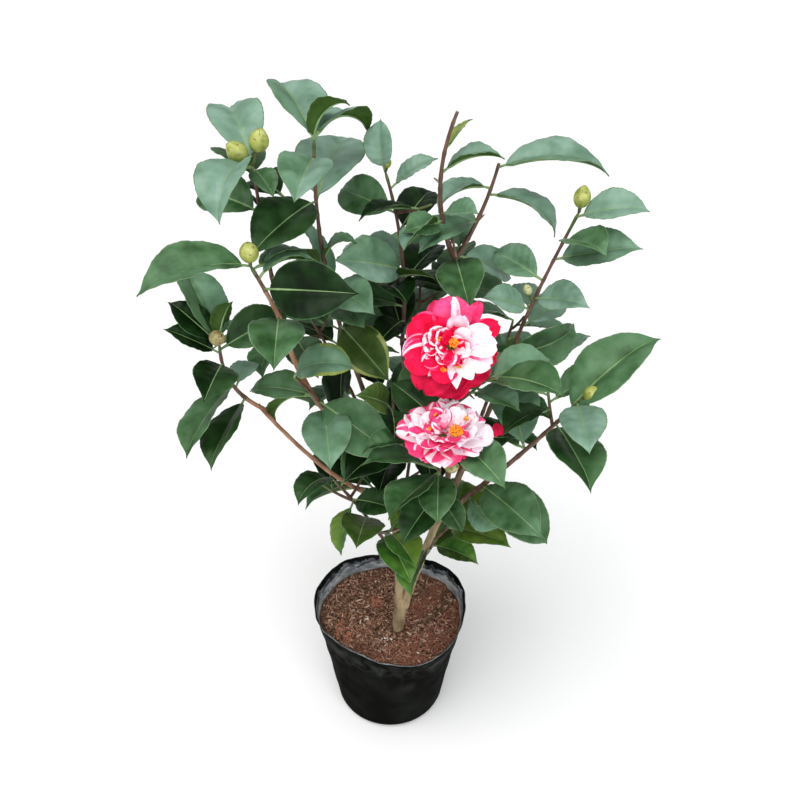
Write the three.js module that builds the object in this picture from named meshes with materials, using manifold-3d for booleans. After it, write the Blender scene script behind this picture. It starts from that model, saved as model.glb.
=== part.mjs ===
// A young camellia in a soft nursery pot, in millimetres, +Z up, its fuller side towards -Y.
// The origin is the centre of the pot's flat underside.
import * as THREE from "three";
import Module from "manifold-3d";

const wasm = await Module();
wasm.setup();

// Clearance between neighbouring solids.
const clearance = 0.3;

// How finely limbs are faceted: sides round them, and lengths along them.
const stemSides = 9;
const boughSides = 6;
const limbSteps = 6;
const shootSides = 5;
const shootSteps = 5;
const twigSides = 3;
const twigSteps = 2;

// The pot and what fills it. The soft wall's waves at the rim are [count, depth, turn in degrees].
const potHeight = 135;
const potRimRadius = 77;
const potFootRadius = 58;
const potWall = 1.8;
const potFloor = 2;
const potSectors = 28;
const rimWaves = [[1, 3, 144], [2, 4, 130], [3, 2.3, -37], [4, 1.6, -17]];
const rimLipHeight = 110;
const rimFlare = 1.2;
const soilLevel = 118;
const soilFlatRadius = 14;
const soilRipple = 1.8;

// The trunk's flare at the soil, as a share added to its girth.
const rootFlare = 0.3;
const flareHeight = 12;

// Leaves: every size is a share of the leaf's whole length unless it is in millimetres.
const leafWidth = 0.56;
const leafThickness = 0.02;
const leafFold = 14;
const leafBow = 34;
const petioleLength = 7;
const longestPetiole = 0.16;
const petioleRadius = 1.1;
const leafStations = [0.28, 0.66];

// The seeded rule of growth: side twigs and leaves go round their stem by the golden angle.
const goldenAngle = 137.5;
const warmUpDraws = 3;
const twigRule = {
  start: 0.22, headingSpread: 40, lowestRise: 8, riseSpread: 40, shortest: 0.8, lengthSpread: 0.4,
  sag: 0.05, radius: [1.5, 1.1], leaves: 4, leafZone: 0.7, leafSide: 62, leafRise: 6, leafLength: 68,
};
const stemLeafRule = { start: 0.2, zone: 0.75, turn: 70, rise: 8, length: 72 };
const leafChance = { tries: 5, turn: 30, raise: 24, roll: 50, shortest: 0.88, lengthSpread: 0.24 };

// The room that each blade and twig keeps, tested at points over its surface.
const spaceReach = 104;
const bladeGap = 8;
const ownBladeGap = 5.5;
const limbGap = 4;
const limbPointSpacing = 6;
const sampleRows = 7;
const sampleRowSpread = 7.4;
const footSamples = 10;
const linePoints = 8;

// Buds, and the blooms with their whorls of petals round a receptacle.
const eggProfile = [[0.18, 0.72], [0.5, 1], [0.8, 0.66]];
const eggSides = 6;
const budLength = 2.5;
const budSink = 2.5;
const receptacleRadius = 8;
const receptacleLength = 3;
const receptacleSink = 1.6;
const petal = { stalk: 0.1, fold: 10, thickness: 1.6, footRadius: 1.6, stations: [0.68], sink: 2 };
const petalWidest = 0.62;
const whorls = [
  { count: 8, lift: 6, length: 36, width: 31, bow: 16 },
  { count: 6, lift: 34, length: 30, width: 26, bow: -26 },
];

const barkMaterial = new THREE.MeshStandardMaterial({ color: 0x9c8462, roughness: 0.85 });
const leafMaterial = new THREE.MeshStandardMaterial({ color: 0x2c5a34, roughness: 0.35 });
const petalMaterial = new THREE.MeshStandardMaterial({ color: 0xd81f4a, roughness: 0.6 });
const potMaterial = new THREE.MeshStandardMaterial({ color: 0x16181b, roughness: 0.55 });
const soilMaterial = new THREE.MeshStandardMaterial({ color: 0x6f4a34, roughness: 0.95 });

// The trunk and its two main stems. A limb bends through its via point.
const stems = [
  { name: "trunk", foot: [9, -20, 118.3], via: [11, -20, 142], tip: [13, -19, 162], girth: [6.2, 6.4] },
  { name: "stem_left", parent: "trunk", foot: [11, -18, 156], via: [8, -9, 240], tip: [0, 8, 310],
    girth: [4.9, 4] },
  { name: "stem_right", parent: "trunk", foot: [16, -20, 156], via: [34, -30, 239], tip: [52, -45, 313],
    girth: [4, 3.2] },
];

// The boughs: one tapering limb each, from a stem or from the tip of another bough.
const boughs = [
  { name: "low_left_bough", parent: "stem_left", foot: [4, 0, 279], via: [-47, -24, 329],
    tip: [-106, -34, 412], girth: [3.2, 2.3] },
  { name: "left_bough", parent: "stem_left", foot: [0, 8, 310], via: [-27, 0, 352],
    tip: [-51, -12, 387], girth: [3.7, 3.3] },
  { name: "left_upper_bough", parent: "left_bough", foot: [-51, -12, 387], via: [-70, -25, 436],
    tip: [-82, -35, 494], girth: [3.1, 2.4] },
  { name: "upper_left_bough", parent: "stem_left", foot: [1, 7, 306], via: [-18, 20, 377],
    tip: [-35, 26, 432], girth: [3, 2.5] },
  { name: "middle_bough", parent: "stem_left", foot: [2, 5, 298], via: [14, 28, 360],
    tip: [13, 44, 432], girth: [2.9, 2.4] },
  { name: "upper_right_bough", parent: "stem_right", foot: [51, -44, 308], via: [59, 0, 417],
    tip: [57, 38, 513], girth: [3.1, 2.6] },
  { name: "right_bough", parent: "stem_right", foot: [52, -45, 313], via: [78, -25, 371],
    tip: [103, 6, 422], girth: [2.9, 2.4] },
  { name: "low_right_bough", parent: "stem_right", foot: [46, -40, 293], via: [58, -46, 309],
    tip: [70, -50, 327], girth: [3, 2.8] },
];

// The masses. A posed leaf is [place on the stem, heading, rise, roll, length, bow]:
// headings turn from +X towards +Y, roll is about the leaf's own line, and angles are in degrees.
// A bud is [place on the stem, heading, rise, distance, radius].
const masses = [
  {
    name: "far_left_foliage", parent: "low_left_bough", via: [-128, -34, 437], tip: [-133, -34, 473],
    girth: [2.2, 1.5], seed: 3, twigs: 2, twigLength: 34, turn: 60, leaves: 3,
    posed: [[1, 62, 53, -103, 38, 54], [1, 160, 38, -15, 53, 8], [0.9, 195, 36, -24, 49, 8],
      [0.98, 122, 33, 23, 84, 8], [0.94, 30, 15, 35, 66], [0.77, 268, 5, -20, 64], [0.4, 80, 0, 0, 44],
      [0.45, 246, -18, 21, 77, 27], [0.22, 252, -17, 22, 73, 8]],
    buds: [[1, 270, 60, 6, 6]],
  },
  {
    name: "left_foliage", parent: "left_upper_bough", via: [-89, -38, 517], tip: [-100, -40, 544],
    girth: [2.3, 1.6], seed: 5, twigs: 1, twigLength: 30, turn: 90, leaves: 0,
    posed: [[1, 204, -5, -11, 89, 55], [0.65, 338, 8, 60, 82], [0.1, 274, 0, -5, 76],
      [0.8, 18, 3, -5, 55, 110], [0.95, 39, -11, -17, 66, 52]],
    buds: [[1, 280, 75, 7, 7]],
  },
  {
    name: "top_left_foliage", parent: "left_upper_bough", via: [-95, 6, 539], tip: [-100, 12, 603],
    girth: [2.1, 1.5], seed: 8, twigs: 1, twigLength: 36, turn: 60, leaves: 1,
    posed: [[1, 112, 19, -9, 81, 83], [0.98, 253, -19, 9, 77, 110], [0.98, 300, -15, 10, 40],
      [0.72, 142, 0, -30, 74], [0.3, 332, -4, 35, 68]],
    buds: [[1, 200, 45, 9, 7.5], [1, 20, 70, 12, 7.5]],
  },
  {
    name: "upper_left_foliage", parent: "upper_left_bough", via: [-53, 29, 526], tip: [-54, 24, 618],
    girth: [2.3, 1.5], seed: 13, twigs: 1, twigLength: 45, turn: 30, leaves: 2,
    posed: [[1, 115, 17, 10, 90, 25], [0.98, 356, 47, -31, 50, 110], [0.73, 80, 13, 2, 106, 20],
      [0.92, 264, -5, -10, 78], [0.73, 236, -12, -20, 82], [0.44, 350, 35, 1, 41, 110],
      [0.13, 310, -20, 30, 74], [0.23, 300, 5, 20, 58], [0.33, 308, 0, 25, 66],
      [1, 46, -7, -8, 70, 110], [0.4, 150, 56, 15, 48, 23], [0.02, 266, -54, 36, 66]],
    buds: [],
  },
  {
    name: "middle_foliage", parent: "middle_bough", via: [13, 52, 509], tip: [-1, 58, 582],
    girth: [2.2, 1.4], seed: 21, twigs: 2, twigLength: 42, turn: 140, leaves: 3,
    posed: [[1, 118, 80, -43, 46, 85], [0.76, 140, 5, -45, 68], [0.9, 11, 31, 9, 47, 29],
      [0.65, 60, 18, 10, 64], [0.34, 57, 12, 0, 68], [0.45, 132, 0, -20, 66], [0.42, 214, 22, -50, 76],
      [0.12, 243, 0, -10, 54], [0.02, 105, 20, 0, 80]],
    buds: [[1, 300, 60, 7, 4]],
  },
  {
    name: "upper_right_foliage", parent: "upper_right_bough", via: [43, 34, 575], tip: [54, 28, 638],
    girth: [2.5, 2], seed: 34, twigs: 0, twigLength: 30, turn: 80, leaves: 0,
    posed: [[0.76, 46, 32, -25, 36, 9], [0.61, 356, 15, -4, 54, 65], [0.34, 314, 16, 25, 42],
      [0.26, 222, 8, -30, 46], [0.29, 233, -8, 30, 56], [0.12, 80, 10, 0, 36]],
    buds: [],
  },
  {
    name: "right_back_foliage", parent: "upper_right_bough", via: [78, 54, 547], tip: [92, 64, 587],
    girth: [2.5, 2], seed: 55, twigs: 0, twigLength: 44, turn: 20, leaves: 0,
    posed: [[0.96, 352, 0, 3, 95, 49], [0.76, 198, -17, 1, 55, 84], [0.7, 341, -24, -4, 72, 67],
      [0.43, 220, -8, -5, 68], [0.02, 276, -8, 15, 74], [0.05, 22, -30, 35, 64], [0.1, 95, 6, 0, 70]],
    buds: [],
  },
  {
    name: "right_foliage", parent: "right_bough", via: [119, 12, 478], tip: [152, 18, 563],
    girth: [2.2, 1.5], seed: 89, twigs: 1, twigLength: 34, turn: 80, leaves: 2,
    posed: [[0.98, 337, 15, 31, 59, 43], [0.79, 340, 18, 29, 71, 10], [0.68, 132, 8, -35, 58],
      [0.51, 200, 25, -35, 50], [0.5, 90, 8, 0, 44], [0.58, 314, 14, 35, 56], [0.4, 34, 10, 20, 52],
      [0.23, 359, 26, 90, 68, 110], [0.04, 64, 0, 20, 52]],
    buds: [[1, 0, 85, 6, 7.5], [0.56, 150, 60, 9, 4]],
  },
  {
    name: "low_right_foliage", parent: "low_right_bough", via: [111, -66, 388], tip: [149, -76, 446],
    girth: [2.7, 1.6], seed: 144, twigs: 1, twigLength: 40, turn: 90, leaves: 1,
    posed: [[0.9, 18, 39, 8, 95], [0.99, 268, 0, 10, 64], [0.8, 280, 1, -7, 82, 12],
      [0.53, 102, 27, -5, 80, 30], [0.14, 304, 0, 25, 80], [0.1, 329, -24, 22, 83, 67],
      [0.02, 301, -6, 76, 47, 56]],
    buds: [[1, 350, 45, 8, 6]],
  },
  {
    name: "centre_left_foliage", parent: "left_bough", via: [-58, -30, 417], tip: [-75, -45, 450],
    girth: [2.2, 1.5], seed: 233, twigs: 1, twigLength: 30, turn: 250, leaves: 1,
    posed: [[0.47, 330, -22, 40, 82], [0.3, 278, -8, 0, 76], [0.59, 162, -5, -10, 64],
      [0.98, 353, 14, 24, 62, 110], [0.55, 173, -35, 17, 55, 97], [0.08, 333, 58, 159, 36, 40]],
    buds: [],
  },
  {
    name: "low_left_foliage", parent: "stem_left", foot: [8, -13, 212], via: [-20, -30, 285],
    tip: [-48, -40, 338], girth: [2.1, 1.4], seed: 377, twigs: 2, twigLength: 30, turn: 300, leaves: 2,
    posed: [[1, 236, 9, 7, 55, 82], [0.5, 265, 22, -8, 73, 26], [0.7, 252, -43, 34, 51, 28],
      [0.72, 325, 15, 25, 54], [0.9, 60, 10, 20, 62]],
    buds: [],
  },
  {
    name: "low_front_foliage", parent: "stem_right", foot: [29, -27, 222], via: [39, -42, 255],
    tip: [42, -54, 280], girth: [1.9, 1.3], seed: 610, twigs: 1, twigLength: 24, turn: 40, leaves: 1,
    posed: [[0.67, 324, 8, 5, 52], [0.52, 252, 1, 34, 66, 53], [0.4, 60, 0, 20, 56]],
    buds: [],
  },
  {
    name: "upper_bloom_foliage", parent: "stem_right", foot: [51, -45, 306], via: [53, -62, 405],
    tip: [49, -80, 486], girth: [2.4, 2], seed: 987, twigs: 2, twigLength: 36, turn: 170, leaves: 2,
    posed: [[0.5, 142, 22, -25, 70], [0.45, 330, 25, 50, 62]],
    buds: [],
    bloom: { centre: [48, -92, 505], heading: 262, rise: 30, turn: 12 },
  },
  {
    name: "lower_bloom_foliage", parent: "stem_right", foot: [48, -41, 296], via: [43, -72, 362],
    tip: [43, -106, 426], girth: [2.3, 2], seed: 1597, twigs: 1, twigLength: 30, turn: 10, leaves: 2,
    posed: [[0.65, 236, 4, 23, 74, 8], [0.68, 267, -9, 9, 56, 18], [0.35, 236, -15, -10, 60],
      [0.3, 299, -14, 18, 44, 62]],
    buds: [[0.74, 310, 30, 12, 5.5]],
    bloom: { centre: [43, -112, 443], heading: 265, rise: 76, turn: 30 },
  },
  {
    name: "inner_front_foliage", parent: "stem_left", foot: [1, 6, 305], via: [8, -26, 372],
    tip: [2, -50, 424], girth: [2.2, 1.4], seed: 2584, twigs: 3, twigLength: 40, turn: 200, leaves: 7,
    posed: [[1, 231, 40, -60, 50], [0.98, 275, 6, -20, 50]],
    buds: [],
  },
  {
    name: "inner_back_foliage", parent: "stem_left", foot: [4, 1, 288], via: [24, 66, 392],
    tip: [30, 104, 474],
    girth: [2.2, 1.4], seed: 4181, twigs: 4, twigLength: 50, turn: 90, leaves: 4,
    posed: [],
    buds: [],
  },
  {
    name: "back_left_foliage", parent: "stem_left", foot: [2, 5, 300], via: [-34, 60, 360],
    tip: [-78, 98, 430], girth: [2.7, 1.4], seed: 6765, twigs: 5, twigLength: 52, turn: 20, leaves: 4,
    posed: [],
    buds: [],
  },
  {
    name: "back_right_foliage", parent: "stem_right", foot: [50, -43, 305], via: [88, 24, 366],
    tip: [118, 84, 430], girth: [2.6, 1.4], seed: 10946, twigs: 5, twigLength: 52, turn: 120, leaves: 4,
    posed: [],
    buds: [],
  },
  {
    name: "back_low_foliage", parent: "stem_left", foot: [7, -9, 240], via: [20, 44, 288],
    tip: [26, 92, 350], girth: [2.5, 1.4], seed: 17711, twigs: 4, twigLength: 46, turn: 200, leaves: 4,
    posed: [],
    buds: [],
  },
];

const radians = THREE.MathUtils.degToRad;

function vectorOf(list) {
  return new THREE.Vector3(list[0], list[1], list[2]);
}

// A repeatable stream of numbers from 0 to 1. The first draws only stir neighbouring seeds apart.
function seeded(seed) {
  let state = seed >>> 0;
  const draw = () => {
    state = (Math.imul(1664525, state) + 1013904223) >>> 0;
    return state / 4294967296;
  };
  for (let i = 0; i < warmUpDraws; i += 1) {
    draw();
  }
  return draw;
}

function directionOf(heading, rise) {
  const level = Math.cos(radians(rise));
  return new THREE.Vector3(
    Math.cos(radians(heading)) * level,
    Math.sin(radians(heading)) * level,
    Math.sin(radians(rise)),
  );
}

// Two directions square to a line and to each other.
function acrossOf(forward) {
  const across = new THREE.Vector3().crossVectors(new THREE.Vector3(0, 0, 1), forward).normalize();
  return { across, other: new THREE.Vector3().crossVectors(forward, across) };
}

// A closed surface from rings of equal length, each end closed by a point.
// Its faces are split along one diagonal, or along the other when turned.
function solidFromRings(rings, start, end, turned = false) {
  const size = rings[0].length;
  const points = [start, ...rings.flat(), end];
  const faces = [];
  const last = points.length - 1;
  for (let i = 0; i < size; i += 1) {
    const next = (i + 1) % size;
    faces.push(0, 1 + next, 1 + i);
    faces.push(last, last - size + i, last - size + next);
    for (let k = 0; k + 1 < rings.length; k += 1) {
      const here = 1 + k * size;
      const above = here + size;
      faces.push(here + i, here + next, turned ? above + i : above + next);
      faces.push(turned ? here + next : here + i, above + next, above + i);
    }
  }
  return new wasm.Manifold(new wasm.Mesh({
    numProp: 3,
    vertProperties: new Float32Array(points.flatMap((p) => [p.x, p.y, p.z])),
    triVerts: new Uint32Array(faces),
  }));
}

function largestBody(solid) {
  const bodies = solid.decompose();
  return bodies.reduce((best, body) => (body.volume() > best.volume() ? body : best));
}

// A limb's centre line: a parabola from its foot to its tip that passes through its via point.
function lineOf(limb) {
  const foot = vectorOf(limb.foot);
  const tip = vectorOf(limb.tip);
  const handle = vectorOf(limb.via).multiplyScalar(2).addScaledVector(foot, -0.5).addScaledVector(tip, -0.5);
  return new THREE.QuadraticBezierCurve3(foot, handle, tip);
}

function girthAt(limb, share) {
  let girth = THREE.MathUtils.lerp(limb.girth[0], limb.girth[1], share);
  if (limb.name === "trunk") {
    const height = share * (limb.tip[2] - limb.foot[2]);
    girth *= 1 + rootFlare * Math.max(0, 1 - height / flareHeight) ** 2;
  }
  return girth;
}

// A tapering tube along a limb. grow widens it and lengthens both ends, for cutting its neighbours clear.
function limbSolid(limb, sides, steps, grow = 0) {
  const line = limb.line;
  const rings = [];
  for (let k = 0; k <= steps; k += 1) {
    const share = k / steps;
    const centre = line.getPoint(share);
    const along = line.getTangent(share);
    if (k === 0) {
      centre.addScaledVector(along, -grow);
    }
    if (k === steps) {
      centre.addScaledVector(along, grow);
    }
    const flat = limb.name === "trunk" && k === 0;
    const facing = flat ? new THREE.Vector3(0, 0, 1) : along;
    const across = new THREE.Vector3().crossVectors(new THREE.Vector3(0, 1, 0), facing).normalize();
    const other = new THREE.Vector3().crossVectors(facing, across);
    const radius = girthAt(limb, share) + grow;
    const ring = [];
    for (let i = 0; i < sides; i += 1) {
      const angle = (2 * Math.PI * i) / sides;
      ring.push(centre.clone()
        .addScaledVector(across, radius * Math.cos(angle))
        .addScaledVector(other, radius * Math.sin(angle)));
    }
    rings.push(ring);
  }
  const middle = (ring) => ring.reduce((sum, p) => sum.add(p), new THREE.Vector3()).divideScalar(sides);
  return solidFromRings(rings, middle(rings[0]), middle(rings[steps]));
}

// A blade's frame: where it springs from, the line from foot to tip, and the way its upper side faces.
function leafFrame(origin, heading, rise, roll) {
  const forward = directionOf(heading, rise);
  const up = directionOf(heading, rise + 90);
  const turned = new THREE.Vector3().crossVectors(forward, up);
  const normal = up.multiplyScalar(Math.cos(radians(roll))).addScaledVector(turned, Math.sin(radians(roll)));
  return { origin, forward, normal, left: new THREE.Vector3().crossVectors(normal, forward) };
}

// A point of a blade bowed along a circular arc: along from 0 to 1, across and above in millimetres.
function bladePoint(blade, along, across, above) {
  const bow = radians(blade.bow);
  const slope = bow / 2 - bow * along;
  const x = (blade.length * (Math.sin(bow / 2) - Math.sin(slope))) / bow;
  const z = (blade.length * (Math.cos(slope) - Math.cos(bow / 2))) / bow;
  return blade.frame.origin.clone()
    .addScaledVector(blade.frame.forward, x - above * Math.sin(slope))
    .addScaledVector(blade.frame.normal, z + above * Math.cos(slope))
    .addScaledVector(blade.frame.left, across);
}

// Half the width of a leaf as a share of its greatest: oval, drawn out to a point at the tip.
function leafOutline(share) {
  return Math.sin(Math.PI * share ** 0.9) ** (0.8 + 0.9 * share ** 6);
}

function petalOutline(share) {
  if (share < petalWidest) {
    return 0.2 + 0.8 * Math.sin((Math.PI / 2) * (share / petalWidest));
  }
  return Math.sqrt(1 - ((share - petalWidest) / 0.385) ** 2);
}

function makeLeaf(origin, heading, rise, roll, length, bow = leafBow) {
  const stalk = Math.min(petioleLength, longestPetiole * length);
  return {
    frame: leafFrame(origin, heading, rise, roll),
    length,
    bow,
    stalk: stalk / length,
    width: leafWidth * length,
    fold: leafFold,
    thickness: leafThickness * length,
    footRadius: Math.min(petioleRadius, leafThickness * length),
    outline: leafOutline,
    stations: leafStations,
  };
}

// A point of the blade's middle surface: share runs from the blade's foot to its tip, side from -1 to 1.
function surfacePoint(blade, share, side) {
  const along = blade.stalk + (1 - blade.stalk) * share;
  const half = (blade.width / 2) * blade.outline(share) * side;
  const lift = Math.abs(half) * Math.sin(radians(blade.fold));
  return bladePoint(blade, along, half * Math.cos(radians(blade.fold)), lift);
}

// A leaf or petal as a lens-shaped solid: a slim foot, then a blade with sharp edges.
function bladeSolid(blade) {
  const foot = blade.footRadius;
  const slimRing = (along, radius) => [
    bladePoint(blade, along, radius, 0),
    bladePoint(blade, along, 0, radius),
    bladePoint(blade, along, -radius, 0),
    bladePoint(blade, along, 0, -radius),
  ];
  const rings = [slimRing(0, foot), slimRing(blade.stalk, foot)];
  for (const share of blade.stations) {
    const along = blade.stalk + (1 - blade.stalk) * share;
    rings.push([
      surfacePoint(blade, share, 1),
      bladePoint(blade, along, 0, blade.thickness / 2),
      surfacePoint(blade, share, -1),
      bladePoint(blade, along, 0, -blade.thickness / 2),
    ]);
  }
  return solidFromRings(rings, bladePoint(blade, 0, 0, 0), bladePoint(blade, 1, 0, 0));
}

// A bud, bloom heart or calyx: an egg of few faces along a direction.
function eggSolid(foot, forward, length, radius) {
  const { across, other } = acrossOf(forward);
  const rings = [];
  for (const [share, girth] of eggProfile) {
    const ring = [];
    for (let i = 0; i < eggSides; i += 1) {
      const angle = (2 * Math.PI * i) / eggSides;
      ring.push(foot.clone()
        .addScaledVector(forward, share * length)
        .addScaledVector(across, girth * radius * Math.cos(angle))
        .addScaledVector(other, girth * radius * Math.sin(angle)));
    }
    rings.push(ring);
  }
  return solidFromRings(rings, foot, foot.clone().addScaledVector(forward, length));
}

// What has been placed so far, as points that later leaves keep clear of.
const taken = [];

function takeLimb(owner, line, girth) {
  const steps = Math.ceil(line.getLength() / limbPointSpacing);
  const points = line.getPoints(steps);
  taken.push({ owner, kind: "limb", points, girth, ...ballAround(points) });
}

function ballAround(points) {
  const centre = new THREE.Vector3();
  for (const point of points) {
    centre.addScaledVector(point, 1 / points.length);
  }
  let reach = 0;
  for (const point of points) {
    reach = Math.max(reach, point.distanceTo(centre));
  }
  return { centre, reach };
}

function samplesOf(blade) {
  const points = [];
  for (let i = 1; i <= sampleRows; i += 1) {
    for (let side = -2; side <= 2; side += 1) {
      points.push(surfacePoint(blade, i / sampleRowSpread, side / 2));
    }
  }
  return points;
}

// Whether a blade or twig keeps its distance from everything placed before it.
function isClear(owner, points) {
  const ball = ballAround(points);
  for (const other of taken) {
    let gap = owner === other.owner ? ownBladeGap : bladeGap;
    if (other.kind === "limb") {
      gap = limbGap + other.girth;
    }
    if (ball.centre.distanceTo(other.centre) > ball.reach + other.reach + gap) {
      continue;
    }
    // A leaf's own stem is passed over near its foot.
    const from = other.kind === "limb" && owner === other.owner ? footSamples : 0;
    for (const point of points.slice(from)) {
      for (const place of other.points) {
        if (point.distanceTo(place) < gap) {
          return false;
        }
      }
    }
  }
  return true;
}

function takeBlade(owner, blade) {
  const points = samplesOf(blade);
  taken.push({ owner, kind: "blade", points, girth: 0, ...ballAround(points) });
}

// A leaf of the seeded rule: it is turned a few times for room, then skipped.
function tryLeaf(mass, origin, heading, rise, length, draw) {
  for (let attempt = 0; attempt < leafChance.tries; attempt += 1) {
    const turned = heading + (draw() - 0.5) * leafChance.turn * (1 + attempt);
    const raised = rise + (draw() - 0.5) * leafChance.raise;
    const rolled = (draw() - 0.5) * leafChance.roll;
    const size = length * (leafChance.shortest + leafChance.lengthSpread * draw());
    const blade = makeLeaf(origin, turned, raised, rolled, size);
    const points = samplesOf(blade);
    const nearStem = points.every((p) => distanceToLine(mass.line, p) < spaceReach);
    if (nearStem && isClear(mass.name, points)) {
      return blade;
    }
  }
  return null;
}

function distanceToLine(line, point) {
  let best = Infinity;
  for (let k = 0; k <= linePoints; k += 1) {
    best = Math.min(best, line.getPoint(k / linePoints).distanceTo(point));
  }
  return best;
}

function posedLeaves(mass) {
  for (const [at, heading, rise, roll, length, bow] of mass.posed) {
    keepBlade(mass, makeLeaf(mass.line.getPoint(at), heading, rise, roll, length, bow));
  }
}

// A side twig of the seeded rule: a short sagging shoot.
function makeTwig(mass, k, draw) {
  const at = twigRule.start + ((1 - twigRule.start) * (k + draw())) / mass.twigs;
  const heading = mass.turn + k * goldenAngle + (draw() - 0.5) * twigRule.headingSpread;
  const rise = twigRule.lowestRise + twigRule.riseSpread * draw();
  const length = mass.twigLength * (twigRule.shortest + twigRule.lengthSpread * draw());
  const foot = mass.line.getPoint(Math.min(at, 1));
  const tip = foot.clone().addScaledVector(directionOf(heading, rise), length);
  const via = foot.clone().lerp(tip, 0.5);
  via.z -= twigRule.sag * length;
  return shootOf(mass.name, foot, via, tip, twigRule.radius, heading);
}

function shootOf(name, foot, via, tip, girth, heading = 0) {
  const shoot = { name, foot: foot.toArray(), via: via.toArray(), tip: tip.toArray(), girth, heading };
  shoot.line = lineOf(shoot);
  return shoot;
}

function keepBlade(mass, blade) {
  mass.blades.push(blade);
  takeBlade(mass.name, blade);
}

// Side twigs go round the stem, each with alternate leaves, and leaves fill the stem between them.
function ruledGrowth(mass) {
  for (let k = 0; k < mass.twigs; k += 1) {
    const draw = seeded(mass.seed * 97 + k);
    const twig = makeTwig(mass, k, draw);
    if (!isClear(`${mass.name} twig`, twig.line.getPoints(7).slice(2))) {
      continue;
    }
    let grown = 0;
    for (let j = 0; j < twigRule.leaves; j += 1) {
      const place = twig.line.getPoint(1 - (twigRule.leafZone * j) / twigRule.leaves);
      const side = j === 0 ? 0 : (j % 2 ? twigRule.leafSide : -twigRule.leafSide);
      const heading = twig.heading + side;
      const blade = tryLeaf(mass, place, heading, twigRule.leafRise, twigRule.leafLength, draw);
      if (blade) {
        keepBlade(mass, blade);
        grown += 1;
      }
    }
    if (grown > 0) {
      mass.twigLimbs.push(twig);
      takeLimb(mass.name, twig.line, twigRule.radius[0]);
    }
  }
  for (let k = 0; k < mass.leaves; k += 1) {
    const draw = seeded(mass.seed * 131 + 500 + k);
    const tipLeaf = k === 0 && mass.posed.length === 0;
    const at = tipLeaf ? 1 : stemLeafRule.start + (stemLeafRule.zone * (k + draw())) / mass.leaves;
    const heading = mass.turn + stemLeafRule.turn + k * goldenAngle;
    const place = mass.line.getPoint(Math.min(at, 1));
    const blade = tryLeaf(mass, place, heading, stemLeafRule.rise, stemLeafRule.length, draw);
    if (blade) {
      keepBlade(mass, blade);
    }
  }
}

// A double bloom: whorls of petals round a receptacle, the inner ones standing up.
function bloomBlades(bloom, seed) {
  const draw = seeded(seed);
  const axis = directionOf(bloom.heading, bloom.rise);
  const { across, other } = acrossOf(axis);
  const origin = vectorOf(bloom.centre).addScaledVector(axis, -petal.sink);
  const blades = [];
  for (const whorl of whorls) {
    for (let k = 0; k < whorl.count; k += 1) {
      const angle = radians(bloom.turn + (360 * k) / whorl.count + whorl.lift * 2 + (draw() - 0.5) * 10);
      const outward = across.clone().multiplyScalar(Math.cos(angle)).addScaledVector(other, Math.sin(angle));
      const lift = radians(whorl.lift + (draw() - 0.5) * 8);
      const forward = outward.clone().multiplyScalar(Math.cos(lift)).addScaledVector(axis, Math.sin(lift));
      const normal = outward.clone().multiplyScalar(-Math.sin(lift)).addScaledVector(axis, Math.cos(lift));
      blades.push({
        ...petal,
        frame: { origin, forward, normal, left: new THREE.Vector3().crossVectors(normal, forward) },
        length: whorl.length,
        bow: whorl.bow,
        width: whorl.width,
        outline: petalOutline,
      });
    }
  }
  return blades;
}

function meshOf(name, solid, material) {
  const mesh = solid.getMesh();
  const geometry = new THREE.BufferGeometry();
  geometry.setAttribute("position", new THREE.BufferAttribute(mesh.vertProperties, 3));
  geometry.setIndex(new THREE.BufferAttribute(mesh.triVerts, 1));
  geometry.computeVertexNormals();
  const made = new THREE.Mesh(geometry, material);
  made.name = name;
  return made;
}

// The pot's outer radius: a taper, with soft waves in the thin wall that grow towards the rim.
function wallRadius(height, angle) {
  const share = height / potHeight;
  const wave = rimWaves.reduce((sum, [count, depth, turn]) => (
    sum + depth * Math.sin(count * angle + radians(turn))
  ), 0);
  return THREE.MathUtils.lerp(potFootRadius, potRimRadius, share) + wave * share ** 2;
}

function wallRing(height, inset, drop = 0) {
  const ring = [];
  for (let i = 0; i < potSectors; i += 1) {
    const angle = (2 * Math.PI * i) / potSectors;
    const radius = wallRadius(height, angle) - inset;
    ring.push(new THREE.Vector3(radius * Math.cos(angle), radius * Math.sin(angle), height + drop));
  }
  return ring;
}

function potSolid() {
  const rings = [
    wallRing(0, 2),
    wallRing(2, 0),
    wallRing(rimLipHeight, 0),
    wallRing(potHeight, -rimFlare),
    wallRing(potHeight, potWall - rimFlare),
    wallRing(rimLipHeight, potWall),
    wallRing(potFloor, potWall + 1.5),
  ];
  return solidFromRings(rings, new THREE.Vector3(0, 0, 0), new THREE.Vector3(0, 0, potFloor));
}

// The potting mix: it fills the pot to its level, flat at the trunk's foot and rippled round it.
// Its faces are split like those of the wall that it touches.
function soilSolid() {
  const inset = potWall + clearance;
  const draw = seeded(7);
  const trunkFoot = vectorOf(stems[0].foot);
  const inner = (share) => {
    const ring = [];
    for (let i = 0; i < potSectors; i += 1) {
      const angle = (2 * Math.PI * i) / potSectors;
      const radius = THREE.MathUtils.lerp(soilFlatRadius, potRimRadius - 5, share);
      const height = soilLevel + (share > 0 ? soilRipple * (draw() - 0.6) : 0);
      const slide = 1 - share;
      ring.push(new THREE.Vector3(
        trunkFoot.x * slide + radius * Math.cos(angle),
        trunkFoot.y * slide + radius * Math.sin(angle),
        height,
      ));
    }
    return ring;
  };
  const rings = [
    wallRing(potFloor, inset + 2, clearance),
    wallRing(rimLipHeight, inset),
    wallRing(soilLevel - 3, inset),
    inner(0.82),
    inner(0.4),
    inner(0),
  ];
  return solidFromRings(
    rings,
    new THREE.Vector3(0, 0, potFloor + clearance),
    new THREE.Vector3(trunkFoot.x, trunkFoot.y, soilLevel),
    true,
  );
}

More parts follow.
